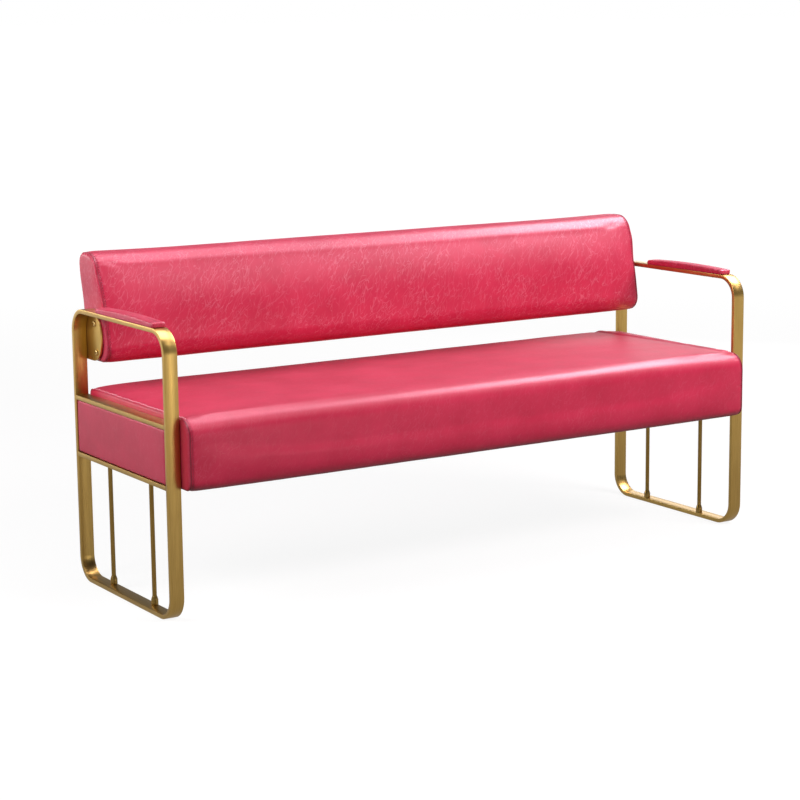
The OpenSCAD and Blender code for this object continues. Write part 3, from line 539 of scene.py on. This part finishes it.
def seat_corners(fill):
    """The seat's section before its corners are rounded. fill is 0 at an end seam and 1 where it no longer pulls."""
    front, rear = -0.2700 - fill * 0.0042, 0.2350
    low, top = 0.2940, 0.4460 + fill * 0.004
    return [Vector((front, low - 0.0030)), Vector((rear, low)), Vector((rear, top)), Vector((front, top))]


SEAT_RADII = [0.022, 0.008, 0.012, 0.038]


def seat_ring(inset, fill):
    return soft_ring(drawn_in(seat_corners(fill), inset), SEAT_RADII,
                     [0, 0.0015 * fill, 0.004 * fill, 0.0018 * fill], [6, 3, 4, 8], [47, 14, 46, 10])


# The backrest's rear and front faces lean. REAR_TOP is where its rear face would meet its top if that edge were sharp.
REAR_ANGLE = math.radians(6.2)
LEAN_REAR = math.tan(REAR_ANGLE)
LEAN_FRONT = math.tan(math.radians(15.9))
REAR_EDGE_R = 0.020
REAR_TOP = 0.276 + REAR_EDGE_R * (LEAN_REAR + 1 / math.cos(REAR_ANGLE) - 1) - 0.003 * LEAN_REAR


def back_corners(fill):
    """The backrest's section before its corners are rounded, at this share of its filling."""
    low, lift = 0.5125 - 0.002 * fill, -0.003 * fill
    tall = 0.757 - low
    rear_foot = REAR_TOP - tall * LEAN_REAR
    front_foot = rear_foot - 0.1245 - 0.003 * fill
    return [Vector((front_foot, low)), Vector((rear_foot, low)),
            Vector((REAR_TOP + lift * LEAN_REAR, low + tall + lift)),
            Vector((front_foot + (tall + lift) * LEAN_FRONT, low + tall + lift))]


BACK_RADII = [0.034, REAR_EDGE_R, REAR_EDGE_R, 0.045]


def back_ring(inset, fill):
    # Away from the seams the filling rounds the lower front edge further.
    radii = [BACK_RADII[0] + 0.009 * fill] + BACK_RADII[1:]
    return soft_ring(drawn_in(back_corners(fill), inset), radii,
                     [0, 0.002 * fill, 0, 0.007 + 0.005 * fill], [8, 4, 4, 9], [6, 21, 5, 15])


# The height up to which the side frames hold the backrest's ends
ARM_TOP = 0.640


def spread(p):
    """Above the armrests nothing holds the backrest's ends, and the right one stands out further there."""
    free = max(0.0, min(1.0, (p.z - ARM_TOP) / 0.07))
    reach = math.exp(-max(0.0, BACK_SEAM - abs(p.x)) / 0.05)
    return p.x + (0.009 if p.x > 0 else -0.001) * free * free * (3 - 2 * free) * reach


def stations(seam, reach):
    """Places across the bench from one end seam to the other, closer near the seams, each with its share of the
    cushion's filling and of the seam's draw."""
    near = [0, 0.0030, 0.0060, 0.0100, 0.0150, 0.0220, 0.0300, 0.0390, 0.0490]
    far = [0.0490 + (seam - 0.0490) * k / 72 for k in range(1, 73)]
    half = []
    for d in near + far:
        share = min(1.0, d / reach)
        half.append((seam - d, math.sin(math.pi / 2 * share), math.exp(-d / 0.0028)))
    return [(-x, f, w) for x, f, w in half] + half[-2::-1]


def sleeve(name, ring_of, seam, reach, plump):
    """The cover's body: drawn in at both seams, and plump by this much where the seams no longer hold it."""
    rings = []
    for x, fill, draw in stations(seam, reach):
        free = 1 - math.exp(-(seam - abs(x)) / 0.012)
        rings.append([Vector((x, p.x, p.y)) for p in ring_of(draw * SEAM_DRAW - plump * free, fill)])
    return loft(name, rings)


def dress_sleeve(piece, seam, pucker, seed, groove, painted_shade):
    """After the filling: one subdivision, then puckers that run out from the end seams, a groove under the stitches
    beside each seam, and the long shallow waves of stretched leather. painted_shade(point) is how much painted shade
    the seam gets."""
    refine(piece)
    for v, normal in zip(piece.data.vertices, [v.normal.copy() for v in piece.data.vertices]):
        p = v.co
        d = seam - abs(p.x)
        if d < 0.0006:
            continue
        around = Vector((p.y / 0.010, p.z / 0.010, seed + (1 if p.x > 0 else 0)))
        fold = noise.noise(around) + 0.5 * noise.noise(around * 2.1)
        shift = pucker * math.exp(-((d - groove) / 0.011) ** 2) * fold
        shift += 0.5 * pucker * math.exp(-d / 0.05) * noise.noise(Vector((p.x / 0.05, p.y / 0.02, p.z / 0.02 + seed)))
        shift -= 0.0005 * math.exp(-((d - groove) / 0.0018) ** 2)
        shift += 0.0005 * noise.noise(Vector((p.x / 0.22, p.y / 0.035, p.z / 0.06 + seed)))
        shift += 0.0003 * noise.noise(Vector((p.x / 0.06, p.y / 0.05, p.z / 0.05 - seed)))
        v.co = p + normal * shift
    # Painted shade: darker leather at the end seam and in the groove under the stitches.
    note_seam_shade(piece, lambda p: painted_shade(p) * (math.exp(-max(0.0, seam - abs(p.x)) / 0.0014)
                                         + 0.3 * math.exp(-((seam - abs(p.x) - groove) / 0.0012) ** 2)))


def end_panel(name, side, ring_of, seam, depth, puff, painted_shade):
    """The panel sewn into the end of a cushion: its turned edge stands at the seam, and it fills out inside it."""
    rings = []
    for inset, rise in [(0.0, 0.0), (0.0003, 0.26), (0.0010, 0.46), (0.0022, 0.60), (0.0040, 0.70), (0.0065, 0.78)]:
        section = ring_of(SEAM_DRAW + inset, 0)
        rings.append([Vector((side * (seam + rise * depth), p.x, p.y)) for p in section])
    hub = sum(rings[-1], Vector()) / len(rings[-1])
    for share, rise in [(0.90, 0.86), (0.78, 0.93), (0.64, 0.97), (0.5, 0.99), (0.36, 1.0), (0.22, 1.0), (0.1, 1.0)]:
        rings.append([Vector((side * (seam + rise * depth), hub.y + (p.y - hub.y) * share,
                              hub.z + (p.z - hub.z) * share)) for p in rings[5]])
    panel = loft(name, [[Vector((side * (seam - 0.001), p.y, p.z)) for p in rings[0]]] + rings)
    refine(panel)
    for v, normal in zip(panel.data.vertices, [v.normal.copy() for v in panel.data.vertices]):
        p = v.co
        v.co = p + normal * puff * noise.noise(Vector((side * 3.0, p.y / 0.03, p.z / 0.05)))
    # Painted shade on the panel's turned edge beside the seam.
    note_seam_shade(panel, lambda p: painted_shade(p) * math.exp(-max(0.0, abs(p.x) - seam) / 0.0008))
    return panel


def piped_edge(name, side, ring_of, seam, inset, thick, out, painted_shade):
    """The seam itself: the turned edges of both leathers, a thin cord along the section's outline."""
    line = [Vector((side * (seam + out), p.x, p.y)) for p in ring_of(inset, 0)]
    cord = tube(name, line, thick, 8)
    # The cord is darkened with painted shade, as in a seam's groove.
    note_seam_shade(cord, lambda p: 0.85 * painted_shade(p))
    return cord


def tube(name, line, thick, around):
    """A closed round cord along a closed line of points in one plane across the bench."""
    n = len(line)
    points, faces = [], []
    for i, p in enumerate(line):
        ahead = (line[(i + 1) % n] - line[i - 1]).normalized()
        across = Vector((1, 0, 0))
        out = ahead.cross(across).normalized()
        for k in range(around):
            a = 2 * math.pi * k / around
            points.append(p + (across * math.cos(a) + out * math.sin(a)) * thick)
    for i in range(n):
        for k in range(around):
            a, b = i * around + k, i * around + (k + 1) % around
            c, d = ((i + 1) % n) * around + k, ((i + 1) % n) * around + (k + 1) % around
            faces.append((a, b, d, c))
    return new_piece(name, points, faces)


def stitch_line(name, spots, length, thick):
    """Thread that shows between its holes: one short rounded stitch at each spot, given as (centre, direction,
    outward). Each dips into the leather at both ends."""
    points, faces = [], []
    for centre, way, out in spots:
        side = way.cross(out).normalized()
        base = len(points)
        for t, lift, width in ((-2, -0.9, 0.35), (-1, 0.1, 0.9), (0, 0.35, 1), (1, 0.1, 0.9), (2, -0.9, 0.35)):
            hub = centre + way * (t * length / 4) + out * (lift * thick)
            for k in range(6):
                a = math.pi / 3 * k
                points.append(hub + (side * math.cos(a) + out * math.sin(a)) * (thick * width))
        for j in range(4):
            for k in range(6):
                a, b = base + j * 6 + k, base + j * 6 + (k + 1) % 6
                faces.append((a, b, b + 6, a + 6))
        faces.append(tuple(base + k for k in range(5, -1, -1)))
        faces.append(tuple(base + 24 + k for k in range(6)))
    return new_piece(name, points, faces)


def walk(line, pitch):
    """Evenly spaced (point, direction) along a closed line."""
    spots, carried = [], 0.0
    for i, p in enumerate(line):
        q = line[(i + 1) % len(line)]
        span = (q - p).length
        if span < 1e-9:
            continue
        at = pitch - carried
        while at <= span:
            spots.append((p + (q - p) * (at / span), (q - p).normalized()))
            at += pitch
        carried = span - (at - pitch)
    return spots


def seam_stitches(name, cover, side, seam, inboard, ring_of, pitch, size, keep):
    """Stitches beside an end seam, laid on the finished cover. size is a stitch's length and the thread's radius."""
    line = [Vector((side * (seam - inboard), p.x, p.y)) for p in ring_of(0.0, 0)]
    spots = []
    for p, way in walk(line, pitch):
        if not keep(p):
            continue
        where, facing = cover.closest_point_on_mesh(Vector((spread(p), p.y, p.z)))[1:3]
        spots.append((where + facing * 0.0002, way, facing))
    return stitch_line(name, spots, *size)


# Seat and backrest

# Above these heights a point of the seat's cover lies on its top seam, or on its top face
TOP_SEAM = 0.4445
TOP_FACE = 0.440
# The most that the filling moves a point
MOST_SWELL = 0.0030
# The front end and the width of the fold on the seat's top
FOLD_FRONT = -0.22
FOLD_WIDTH = 0.009


def seat_seam_shade(p):
    """Painted shade at the seat's seams: a little on the top seam, where the light falls, and full on the others."""
    return 0.2 if p.z > 0.444 else 1.0


def back_seam_shade(_):
    """Painted shade at the backrest's seams, a little under full, all round."""
    return 0.6


def may_swell(p, seam):
    """How far the filling may move a point of the cover: less and less over the last 5 cm to the seam."""
    return MOST_SWELL * min(1.0, (seam - abs(p.x)) / 0.05)


seat = sleeve("seat_leather", seat_ring, SEAT_SEAM, 0.26, 0.0012)
swell(seat, lambda p: 1.0 if abs(p.x) > SEAT_SEAM - 0.004 or p.z < 0.2975 else 0.0,
      lambda p: may_swell(p, SEAT_SEAM) * (0.35 if p.y > 0.225 else 1.0))
dress_sleeve(seat, SEAT_SEAM, 0.0013, 4.0, SEAT_STITCHED, seat_seam_shade)
# A fold runs across the top beside the right end seam, from the rear edge to the front.
for v in seat.data.vertices:
    if v.co.z > TOP_FACE and v.co.y > FOLD_FRONT and v.co.x > 0:
        ridge = SEAT_SEAM - v.co.x - (0.012 + 0.055 * (v.co.y - FOLD_FRONT) / 0.44)
        v.co.z += (0.0028 * math.exp(-(ridge / FOLD_WIDTH) ** 2)
                   - 0.0010 * math.exp(-((ridge - 0.018) / FOLD_WIDTH) ** 2))
# Its underside is stapled flat where the dust cover lies over it.
for v in seat.data.vertices:
    if abs(v.co.x) < 0.746 and -0.250 < v.co.y < 0.215:
        v.co.z = max(v.co.z, 0.2944)
hand_over(seat, LEATHER, ["seat_cover"], smooth=60)

backrest = sleeve("backrest_leather", back_ring, BACK_SEAM, 0.22, 0.0016)
swell(backrest, lambda p: 1.0 if abs(p.x) > BACK_SEAM - 0.004 else 0.0,
      lambda p: may_swell(p, BACK_SEAM) * (0.25 if p.y > 0.24 or p.z > 0.74 else 1.0))
dress_sleeve(backrest, BACK_SEAM, 0.0008, 9.0, BACK_STITCHED, back_seam_shade)
for v in backrest.data.vertices:
    v.co.x = spread(v.co)
hand_over(backrest, LEATHER, ["back_cover"], smooth=60)

for side, sign in SIDES:
    panel = end_panel(f"seat_{side}_end_leather", sign, seat_ring, SEAT_SEAM, 0.0045, 0.0002, seat_seam_shade)
    hand_over(panel, LEATHER, [f"seat_{side}_end_panel"], smooth=60)
    panel = end_panel(f"backrest_{side}_end_leather", sign, back_ring, BACK_SEAM, 0.0060, 0.0003, back_seam_shade)
    for v in panel.data.vertices:
        high = max(0.0, min(1.0, (v.co.z - ARM_TOP) / 0.06))
        v.co.x = spread(v.co) + sign * 0.0035 * high * max(0.0, (abs(v.co.x) - BACK_SEAM) / 0.006)
    hand_over(panel, LEATHER, [f"back_{side}_end_panel"], smooth=60)
    welt = piped_edge(f"seat_{side}_seam_welt", sign, seat_ring, SEAT_SEAM, 0.0010, 0.0009, 0.0006, seat_seam_shade)
    hand_over(welt, LEATHER, smooth=60)
    welt = piped_edge(f"backrest_{side}_seam_welt", sign, back_ring, BACK_SEAM, 0.0010, 0.0008, 0.0004, back_seam_shade)
    for v in welt.data.vertices:
        v.co.x = spread(v.co)
    hand_over(welt, LEATHER, smooth=60)
    # The seat's top seam is sewn with pale thread over puckered leather. On the seat's front the same seam's thread is
    # drawn dark red, a shaded copy of it as painted shade; the backrest's thread is red.
    stitches = seam_stitches(f"seat_{side}_top_stitches", seat, sign, SEAT_SEAM, SEAT_STITCHED, seat_ring,
                             0.0070, (0.0050, 0.0011), lambda p: p.z > TOP_SEAM)
    hand_over(stitches, PALE_THREAD, smooth=60)
    stitches = seam_stitches(f"seat_{side}_front_stitches", seat, sign, SEAT_SEAM, SEAT_STITCHED, seat_ring,
                             0.0052, (0.0034, 0.0005), lambda p: 0.300 < p.z <= TOP_SEAM)
    hand_over(stitches, RED_THREAD, smooth=60)
    stitches = seam_stitches(f"backrest_{side}_stitches", backrest, sign, BACK_SEAM, BACK_STITCHED, back_ring,
                             0.0062, (0.0038, 0.0008), lambda p: True)
    hand_over(stitches, RED_THREAD, smooth=60)


# Armrest pads and side panels

# How far an armrest pad's folded lip reaches from its front end
LIP = 0.013


def rounded_plan(low, high, r, inset, along=30, across=6):
    """Points round a rectangle with rounded corners, drawn in by inset."""
    corners = [Vector((low.x, low.y)), Vector((high.x, low.y)), Vector((high.x, high.y)), Vector((low.x, high.y))]
    corner = max(r - inset * 0.5, 0.0012)
    return soft_ring(drawn_in(corners, inset), [corner] * 4, [0] * 4, [4] * 4, [across, along, across, along])


def armrest_pad(name, node):
    """A thin upholstered strip: leather folded round a board, crowned along its length and across, with a folded
    lip at the front end where it reaches the bend."""
    low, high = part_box(node)
    tall = high.z - low.z
    middle, half = (low.y + high.y) / 2, (high.y - low.y) / 2
    rings = []
    for inset, z in [(0.0012, 0.0), (0.0003, 0.0008), (0.0, 0.002), (0.0, 0.0045), (0.0, tall - 0.0045),
                     (0.0003, tall - 0.0029), (0.0010, tall - 0.0018), (0.0021, tall - 0.0011),
                     (0.0036, tall - 0.0007), (0.0060, tall - 0.0004), (0.0095, tall - 0.0001), (0.0135, tall)]:
        plan = rounded_plan(low, high, 0.006, inset)
        rings.append([Vector((p.x, p.y, low.z + z)) for p in plan])
    pad = loft(name, rings)
    refine(pad)
    for v, normal in zip(pad.data.vertices, [v.normal.copy() for v in pad.data.vertices]):
        p = v.co
        above = max(0.0, min(1.0, (p.z - low.z - 0.003) / 0.006))
        p.z += above * (0.0030 - 0.0042 * ((p.y - middle) / half) ** 2)
        fold = p.y - low.y - LIP
        shift = -0.0009 * math.exp(-(fold / 0.0018) ** 2) * above
        shift += 0.0005 * above * (1 if fold < 0 else 0)
        shift += 0.00025 * noise.noise(Vector((p.x / 0.02, p.y / 0.03, p.z / 0.02)))
        v.co = p + normal * shift
    # Painted shade in the fold behind the lip and along the pad's lower edge, where it sits on the bar.
    note_seam_shade(pad, lambda p: 0.9 * math.exp(-((p.y - low.y - LIP) / 0.0016) ** 2) * (p.z > low.z + 0.004)
              + 0.8 * math.exp(-max(0.0, p.z - low.z) / 0.0012))
    hand_over(pad, LEATHER, [node], smooth=60)


def side_pad(name, node, side):
    """The leather panel between the rails: flat in the middle, rounded over at its edges, a little uneven."""
    low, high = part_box(node)

    def from_edge(p):
        return min(p.y - low.y, high.y - p.y, p.z - low.z, high.z - p.z)

    rings = []
    face = high.x if side > 0 else -low.x
    deep = high.x - low.x
    steps = [(0.0010, deep), (0.0, deep - 0.001), (0.0, 0.0045), (0.0002, 0.0030), (0.0008, 0.0021), (0.0018, 0.0014),
             (0.0034, 0.0009), (0.006, 0.0006), (0.010, 0.0004), (0.018, 0.0002), (0.030, 0.0001), (0.045, 0.0)]
    low2, high2 = Vector((low.y, low.z)), Vector((high.y, high.z))
    for inset, back in steps:
        plan = rounded_plan(low2, high2, 0.005, inset, along=10, across=40)
        rings.append([Vector((side * (face - back), p.x, p.y)) for p in plan])
    pad = loft(name, rings)
    refine(pad)
    for v, normal in zip(pad.data.vertices, [v.normal.copy() for v in pad.data.vertices]):
        p = v.co
        shift = 0.0004 * noise.noise(Vector((side * 2.0, p.y / 0.07, p.z / 0.04)))
        shift += 0.0005 * math.exp(-from_edge(p) / 0.012) * noise.noise(Vector((side * 5.0, p.y / 0.014, p.z / 0.014)))
        v.co = p + normal * (shift - 0.0004)
    # Painted shade along the panel's edges, in the gaps to the rails.
    note_seam_shade(pad, lambda p: 0.7 * math.exp(-from_edge(p) / 0.0012))
    hand_over(pad, LEATHER, [node], smooth=60)


for side, sign in SIDES:
    armrest_pad(f"{side}_armrest_leather", f"{side}_arm_cover")
    side_pad(f"{side}_panel_leather", f"{side}_side_cover", sign)


# Dust cover under the seat: felt cloth pulled flat and stapled, so it sags a little between its edges
low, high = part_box("seat_dust_cover")
middle = ((low.x + high.x) / 2, (low.y + high.y) / 2, high.z - 0.0003)
dust = begin("dust_cloth_sheet", bpy.ops.mesh.primitive_grid_add, x_subdivisions=90, y_subdivisions=30, size=1,
             location=middle)
bpy.ops.object.mode_set(mode="EDIT")
bpy.ops.mesh.select_all(action="SELECT")
bpy.ops.transform.resize(value=(high.x - low.x, high.y - low.y, 1), center_override=middle)
bpy.ops.object.mode_set(mode="OBJECT")
for v in dust.data.vertices:
    p = v.co
    edge = min(p.x - low.x, high.x - p.x, p.y - low.y, high.y - p.y)
    v.co.z -= 0.0006 * min(1.0, edge / 0.05) * (0.7 + 0.6 * noise.noise(Vector((p.x / 0.12, p.y / 0.05, 2.0))))
work(dust, "SOLIDIFY", thickness=0.0005, offset=0)
hand_over(dust, DUST_CLOTH, ["seat_dust_cover"])


# What is inside keeps the solids' own shapes and gets its materials
INSIDE = {
    "mount_plate": BAR_GOLD, "side_board": PLYWOOD, "arm_board": PLYWOOD, "end_board": PLYWOOD, "deck": PLYWOOD,
    "back_board": PLYWOOD, "batten": PINE, "seat_front_rail": PINE, "seat_rear_rail": PINE, "back_top_rail": PINE,
    "back_bottom_rail": PINE, "foam": FOAM, "nuts": ZINC, "screws": ZINC, "clips": NYLON, "bolts": BOLT_GOLD,
}
for name, node in nodes.items():
    if node.hide_render:
        continue
    finish = next((mat for word, mat in INSIDE.items() if word in name), BAR_GOLD)
    node.data.materials.clear()
    node.data.materials.append(finish)


# Studio: a pale floor, a surround that is white at eye level and grey above, and soft lamps
def sees_white(mat, mirrored=1.0):
    """1 for a ray from the camera or through something clear, and mirrored for one off something glossy."""
    path = put(mat, "ShaderNodeLightPath")
    shine = put(mat, "ShaderNodeMath", {"operation": "MULTIPLY"}, i0=path.outputs["Is Glossy Ray"], i1=mirrored)
    eye = put(mat, "ShaderNodeMath", {"operation": "MAXIMUM"}, i0=path.outputs["Is Camera Ray"], i1=shine.outputs[0])
    return put(mat, "ShaderNodeMath", {"operation": "MAXIMUM"}, i0=eye.outputs[0],
               i1=path.outputs["Is Transmission Ray"]).outputs[0]


def floor_and_surround():
    bpy.ops.object.select_all(action="DESELECT")
    bpy.ops.mesh.primitive_circle_add(vertices=128, radius=600, fill_type="NGON", location=(0, 0, 0))
    ground = bpy.context.active_object
    ground.name = "studio_floor"
    mat = bpy.data.materials.new("pale_studio_floor")
    mat.use_nodes = True
    mat.node_tree.nodes.clear()
    reach = put(mat, "ShaderNodeVectorMath", {"operation": "LENGTH"},
                i0=put(mat, "ShaderNodeTexCoord").outputs["Object"])
    far = put(mat, "ShaderNodeMapRange", Value=reach.outputs["Value"], From_Min=2.0, From_Max=7.0, To_Min=0.84)
    # What the metal mirrors of the floor is darker near the bench and bright from three metres on.
    seen = put(mat, "ShaderNodeMapRange", Value=reach.outputs["Value"], From_Min=1.6, From_Max=3.2, To_Min=0.46)
    dull = put(mat, "ShaderNodeBsdfDiffuse", Color=shade("#46392F"))
    white = put(mat, "ShaderNodeBsdfDiffuse", Color=shade("#FFFFFF"))
    glow = put(mat, "ShaderNodeEmission", Color=shade("#FFFFFF"), Strength=1.05)
    bright = put(mat, "ShaderNodeMixShader", i0=far.outputs[0], i1=white.outputs[0], i2=glow.outputs[0])
    both = put(mat, "ShaderNodeMixShader", i0=sees_white(mat, seen.outputs[0]), i1=dull.outputs[0],
               i2=bright.outputs[0])
    put(mat, "ShaderNodeOutputMaterial", Surface=both.outputs[0])
    ground.data.materials.append(mat)

    world = bpy.data.worlds.new("studio_surround")
    world.use_nodes = True
    world.node_tree.nodes.clear()
    bpy.context.scene.world = world
    way = put(world, "ShaderNodeSeparateXYZ", Vector=put(world, "ShaderNodeTexCoord").outputs["Generated"])
    # The camera sees it white all over; what is glossy mirrors it white only near eye level.
    low = put(world, "ShaderNodeMapRange", Value=way.outputs["Z"], From_Min=0.08, From_Max=0.02, To_Max=0.3)
    dim = put(world, "ShaderNodeBackground", Color=shade("#FFFFFF"), Strength=0.22)
    white = put(world, "ShaderNodeBackground", Color=shade("#FFFFFF"), Strength=1.0)
    mix = put(world, "ShaderNodeMixShader", i0=sees_white(world, low.outputs[0]), i1=dim.outputs[0],
              i2=white.outputs[0])
    put(world, "ShaderNodeOutputWorld", Surface=mix.outputs[0])


def soft_lamp(name, place, tilt, width, height, power, job="both", tint="#FFFFFF"):
    """A softbox. Untilted it faces straight down with its width along the bench; tilt is in degrees. Its job can be
    only "shine", a card that is mirrored but adds no light, or only "fill", a polarised light with no reflection."""
    lamp = bpy.data.lights.new(name, "AREA")
    lamp.shape, lamp.size, lamp.size_y, lamp.energy = "RECTANGLE", width, height, power
    lamp.color = shade(tint)[:3]
    stand = bpy.data.objects.new(name, lamp)
    stand.location = place
    stand.rotation_euler = [math.radians(a) for a in tilt]
    stand.visible_camera = False
    stand.visible_diffuse = job != "shine"
    stand.visible_glossy = job != "fill"
    bpy.context.scene.collection.objects.link(stand)


floor_and_surround()
soft_lamp("overhead_softbox", (0.6, 0.1, 2.85), (0, 8, 0), 3.0, 2.8, 17, "both", "#FBF2FF")
soft_lamp("right_shine", (2.4, 0.1, 2.75), (0, 26, 0), 1.4, 2.1, 150, "shine", "#FAF1FF")
soft_lamp("left_shine", (-0.1, 0.1, 2.9), (0, 0, 0), 1.8, 2.1, 68, "shine", "#FAF1FF")
soft_lamp("front_fill", (1.7, -3.1, 3.0), (51, 0, 29), 2.6, 1.6, 168, "fill", "#FFF6F6")
soft_lamp("left_bend_shine", (0.9, -2.6, 3.3), (46, 0, 34), 0.7, 0.6, 8, "shine")
soft_lamp("right_bend_shine", (3.8, -2.5, 3.3), (54, 0, 52), 1.3, 0.9, 10, "shine")
soft_lamp("left_post_shine", (0.42, -2.75, 0.29), (90, 0, 26), 0.6, 0.3, 3.3, "shine")
soft_lamp("left_softbox", (-2.3, 0.1, 1.5), (58, 0, -92), 1.2, 0.8, 24)
soft_lamp("left_rear_shine", (-2.1, 2.2, 1.3), (85, 0, 212), 1.3, 1.0, 22, "shine")
soft_lamp("rear_card", (2.75, 2.2, 0.85), (85, 0, 130), 1.3, 0.9, 8)
bpy.context.scene.view_settings.view_transform = "Standard"
